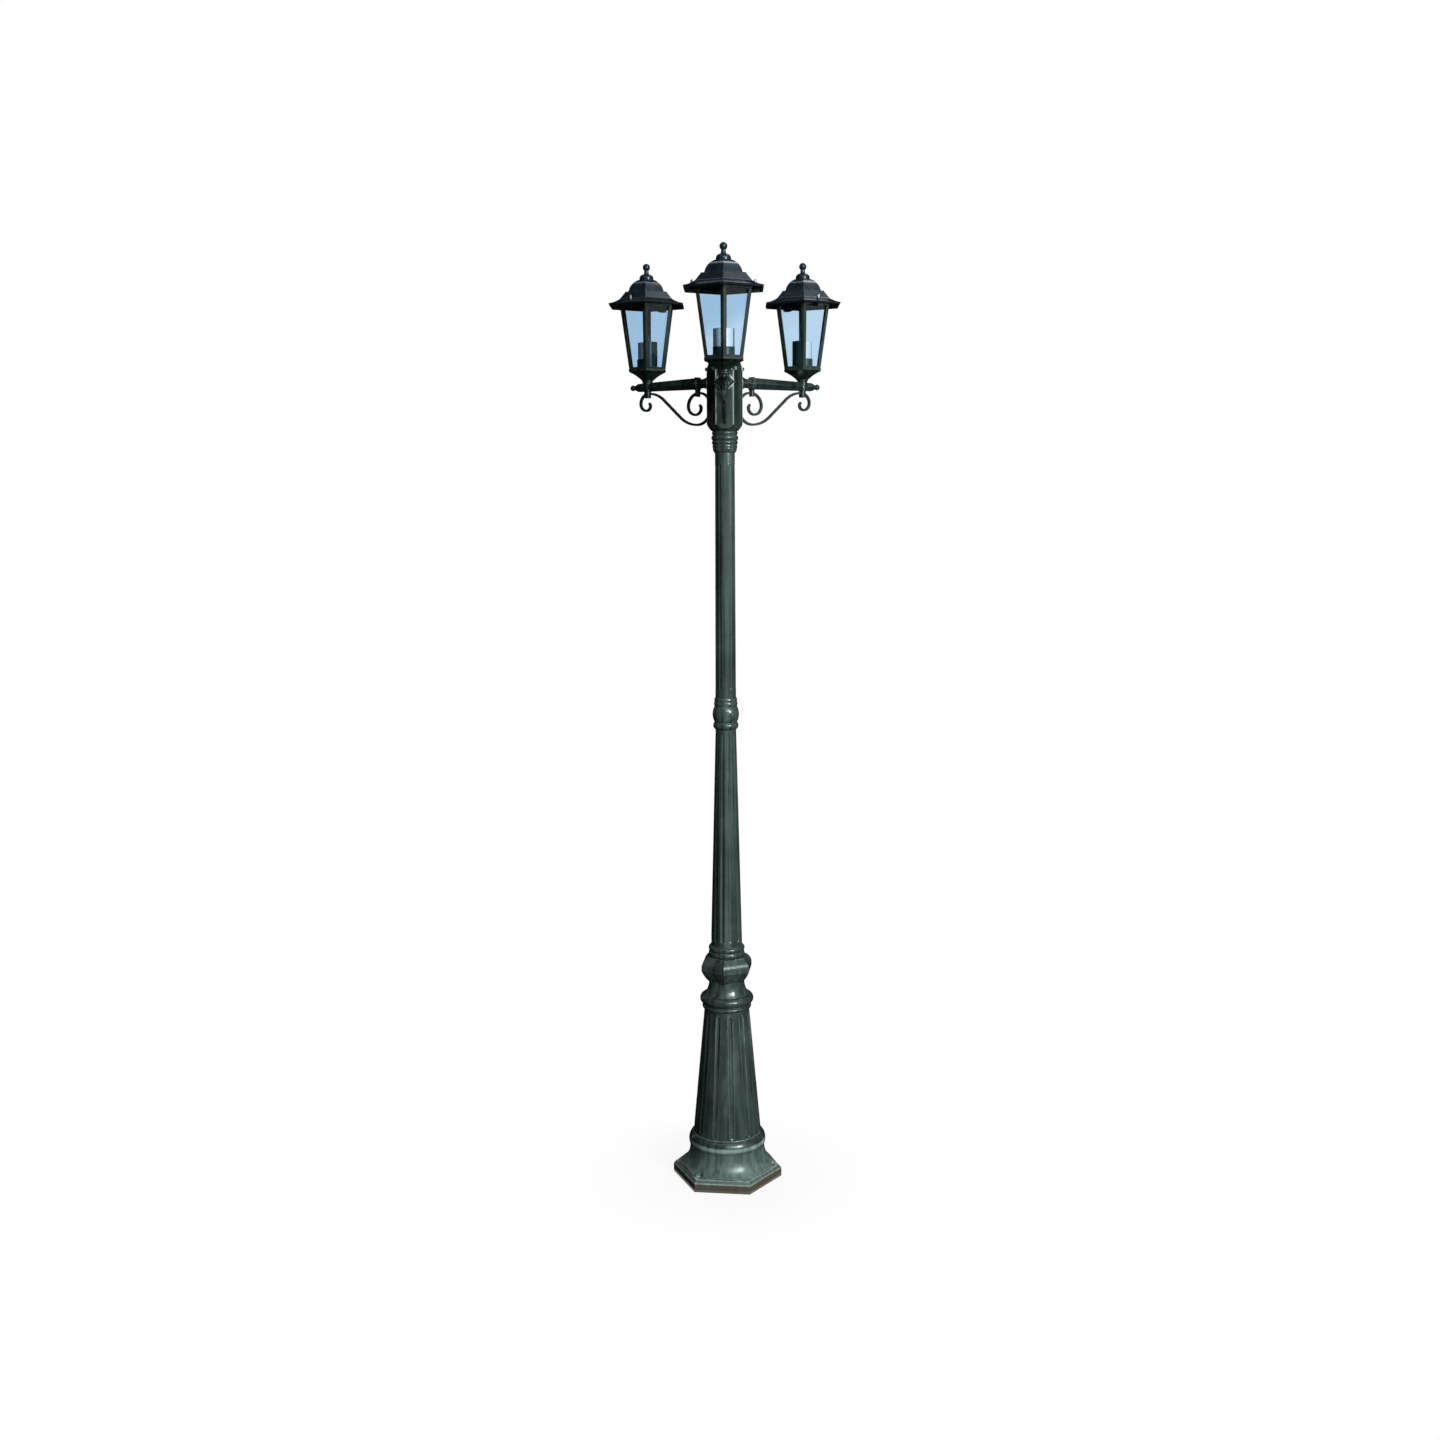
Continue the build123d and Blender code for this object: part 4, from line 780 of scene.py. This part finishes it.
def lanternMiddle(side):
    low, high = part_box("tray_" + side)
    return ((low.x + high.x) / 2, (low.y + high.y) / 2)


# knurled screws that hold each roof, with domed and slotted heads
roofScrewLook = {
    "headRadius": 0.0029,
    "headHeight": 0.009,
    "footShare": 0.93,  # of the head's radius, below and above the knurl
    "knurlFrom": 0.0004,
    "knurlTo": 0.0062,
    "shoulder": 0.0068,
    "dome": ((0.80, 0.0008), (0.50, 0.0002)),  # share of the radius, drop from the top
    "ridges": 22,
    "ridgeDepth": 0.00025,
    "shankRadius": 0.0020,
    "tipShare": 0.7,
    "tipLength": 0.0008,
    "slotWidth": 0.0009,
    "slotDepth": 0.0011,
    "slotTurns": (0.5, 1.9),
    "steps": 88,
}


def makeRoofScrews(side, look):
    node = "roof_screws_" + side
    low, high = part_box(node)
    x, y = lanternMiddle(side)
    # the two screws stand across the arm, which runs out from the post
    out = Vector((x, y)).normalized()
    across = Vector((-out.y, out.x))
    widest = max(high.x - low.x, high.y - low.y) / 2 - look["headRadius"]
    reach = widest / max(abs(across.x), abs(across.y))
    middles = [(x + across.x * reach * way, y + across.y * reach * way) for way in (-1, 1)]
    foot = high.z - look["headHeight"]
    head, shank, knurl = look["headRadius"], look["shankRadius"], (look["ridges"], look["ridgeDepth"])
    profile = [
        (0, low.z),
        (shank * look["tipShare"], low.z),
        (shank, low.z + look["tipLength"]),
        (shank, foot),
        (head * look["footShare"], foot),
        (head, foot + look["knurlFrom"], *knurl),
        (head, foot + look["knurlTo"], *knurl),
        (head * look["footShare"], foot + look["shoulder"]),
        *((head * share, high.z - drop) for share, drop in look["dome"]),
        (0, high.z),
    ]
    shape = bmesh.new()
    for middle in middles:
        turn(shape, middle, profile, look["steps"])
    piece = pieceFrom("roofScrews_" + side, shape, "darkScrew", "roof_" + side, node)
    cutSlots(piece, middles, high.z, look)


# pan head screws of the hub's cap
capScrewLook = {
    "headRadius": 0.0036,
    "headHeight": 0.0024,
    "footShare": 0.96,
    "footEdge": 0.0004,
    "pan": (0.97, 0.0012),  # share of the radius, height above the foot
    "dome": ((0.80, 0.0004), (0.45, 0.0001)),  # share of the radius, drop from the top
    "shankRadius": 0.00185,
    "tipShare": 0.6,
    "tipLength": 0.0008,
    "threadFrom": 0.0012,
    "threadRoom": 0.002,  # plain shank under the head
    "pitch": 0.0008,
    "threadDepth": 0.00018,
    "slotWidth": 0.0010,
    "slotDepth": 0.0011,
    "slotTurns": (0.3, 1.2),
    "steps": 40,
}


def makeCapScrews(look):
    low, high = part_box("hub_cap_screws")
    head, shank = look["headRadius"], look["shankRadius"]
    reach = (high.x - low.x) / 2 - head
    middles = [(-reach, 0.0), (reach, 0.0)]
    foot = high.z - look["headHeight"]
    panShare, panHeight = look["pan"]
    profile = [(0, low.z), (shank * look["tipShare"], low.z), (shank, low.z + look["tipLength"])]
    height = low.z + look["threadFrom"]
    while height < foot - look["threadRoom"]:
        profile += [(shank - look["threadDepth"], height), (shank, height + look["pitch"] / 2)]
        height += look["pitch"]
    profile += [
        (shank, foot),
        (head * look["footShare"], foot),
        (head, foot + look["footEdge"]),
        (head * panShare, foot + panHeight),
        *((head * share, high.z - drop) for share, drop in look["dome"]),
        (0, high.z),
    ]
    shape = bmesh.new()
    for middle in middles:
        turn(shape, middle, profile, look["steps"])
    piece = pieceFrom("capScrews", shape, "darkScrew", "root", "hub_cap_screws")
    cutSlots(piece, middles, high.z, look)


# white lamp holders with moulded rings round the top
holderLook = {
    "socketRadius": 0.0144,
    "socketDepth": 0.028,
    "wellRadius": 0.0043,
    "wellDepth": 0.0025,
    "holeRadius": 0.0025,
    "nippleRoom": 0.0053,
    "nippleDepth": 0.009,
    "footEdge": 0.0006,
    "rimEdge": 0.0015,
    "rimRound": 0.3,  # share of that edge at its middle point
    "mouthEdge": 0.0004,
    "rings": (0.0065, 0.0125, 0.0185, 0.0400),  # heights below the top
    "ringWidth": 0.0016,
    "ringDepth": 0.0005,
    "steps": 96,
}


def makeHolders(look):
    low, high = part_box("lampholders")
    radius = high.x - lanternMiddle("right")[0]
    floor = high.z - look["socketDepth"]
    wellFloor = floor - look["wellDepth"]
    nippleTop = low.z + look["nippleDepth"]
    edge, mouth = look["rimEdge"], look["mouthEdge"]
    profile = [
        (look["nippleRoom"], low.z),
        (radius - look["footEdge"], low.z),
        (radius, low.z + look["footEdge"]),
    ]
    half = look["ringWidth"] / 2
    groove = radius - look["ringDepth"]
    for drop in reversed(look["rings"]):
        profile += [
            (radius, high.z - drop - half),
            (groove, high.z - drop - half / 2),
            (groove, high.z - drop + half / 2),
            (radius, high.z - drop + half),
        ]
    profile += [
        (radius, high.z - edge),
        (radius - edge * look["rimRound"], high.z - edge * look["rimRound"]),
        (radius - edge, high.z),
        (look["socketRadius"] + mouth, high.z),
        (look["socketRadius"], high.z - mouth),
        (look["socketRadius"], floor),
        (look["wellRadius"], floor),
        (look["wellRadius"], wellFloor),
        (look["holeRadius"], wellFloor),
        (look["holeRadius"], nippleTop),
        (look["nippleRoom"], nippleTop),
    ]
    shape = bmesh.new()
    for side in sides:
        turn(shape, lanternMiddle(side), profile, look["steps"], closed=True)
    pieceFrom("lampHolders", shape, "holderWhite", "root", "lampholders")


# brass shells with a rolled thread
shellLook = {
    "pitch": 0.0036,
    "sheet": 0.0003,
    "wave": 0.00025,
    "fade": 0.002,  # the thread runs out into a plain rim over this height at both ends
    "crease": 60,
    "steps": 72,
    "rows": 90,
}


def shellRing(shape, middle, radius, height, span, face, look):
    # face is 1 on the outside of the sheet and -1 on the inside
    low, high = span
    ease = min(1.0, (height - low) / look["fade"], (high - height) / look["fade"])
    atRim = face == 1 and height in (low, high)
    middleRadius = radius - look["wave"] - look["sheet"] / 2
    ring = []
    for step in range(look["steps"]):
        angle = tau * step / look["steps"]
        wave = look["wave"] * ease * cos(tau * (height - low) / look["pitch"] - angle)
        reach = radius if atRim else middleRadius + wave + face * look["sheet"] / 2
        ring.append(shape.verts.new((middle[0] + reach * cos(angle), middle[1] + reach * sin(angle), height)))
    return ring


def makeShells(look):
    low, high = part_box("screw_shells")
    radius = high.x - lanternMiddle("right")[0]
    heights = [low.z + (high.z - low.z) * row / look["rows"] for row in range(look["rows"])] + [high.z]
    span = (low.z, high.z)
    shape = bmesh.new()
    for side in sides:
        middle = lanternMiddle(side)
        rings = []
        for face, order in ((1, heights), (-1, heights[::-1])):
            rings += [shellRing(shape, middle, radius, height, span, face, look) for height in order]
        for lower, upper in zip(rings, rings[1:] + rings[:1]):
            joinRings(shape, lower, upper)
    pieceFrom("screwShells", shape, "shellBrass", "root", "screw_shells", look["crease"])


for side in sides:
    makeRoofScrews(side, roofScrewLook)
makeCapScrews(capScrewLook)
makeHolders(holderLook)
makeShells(shellLook)
print("screws, lamp holders and shells made")
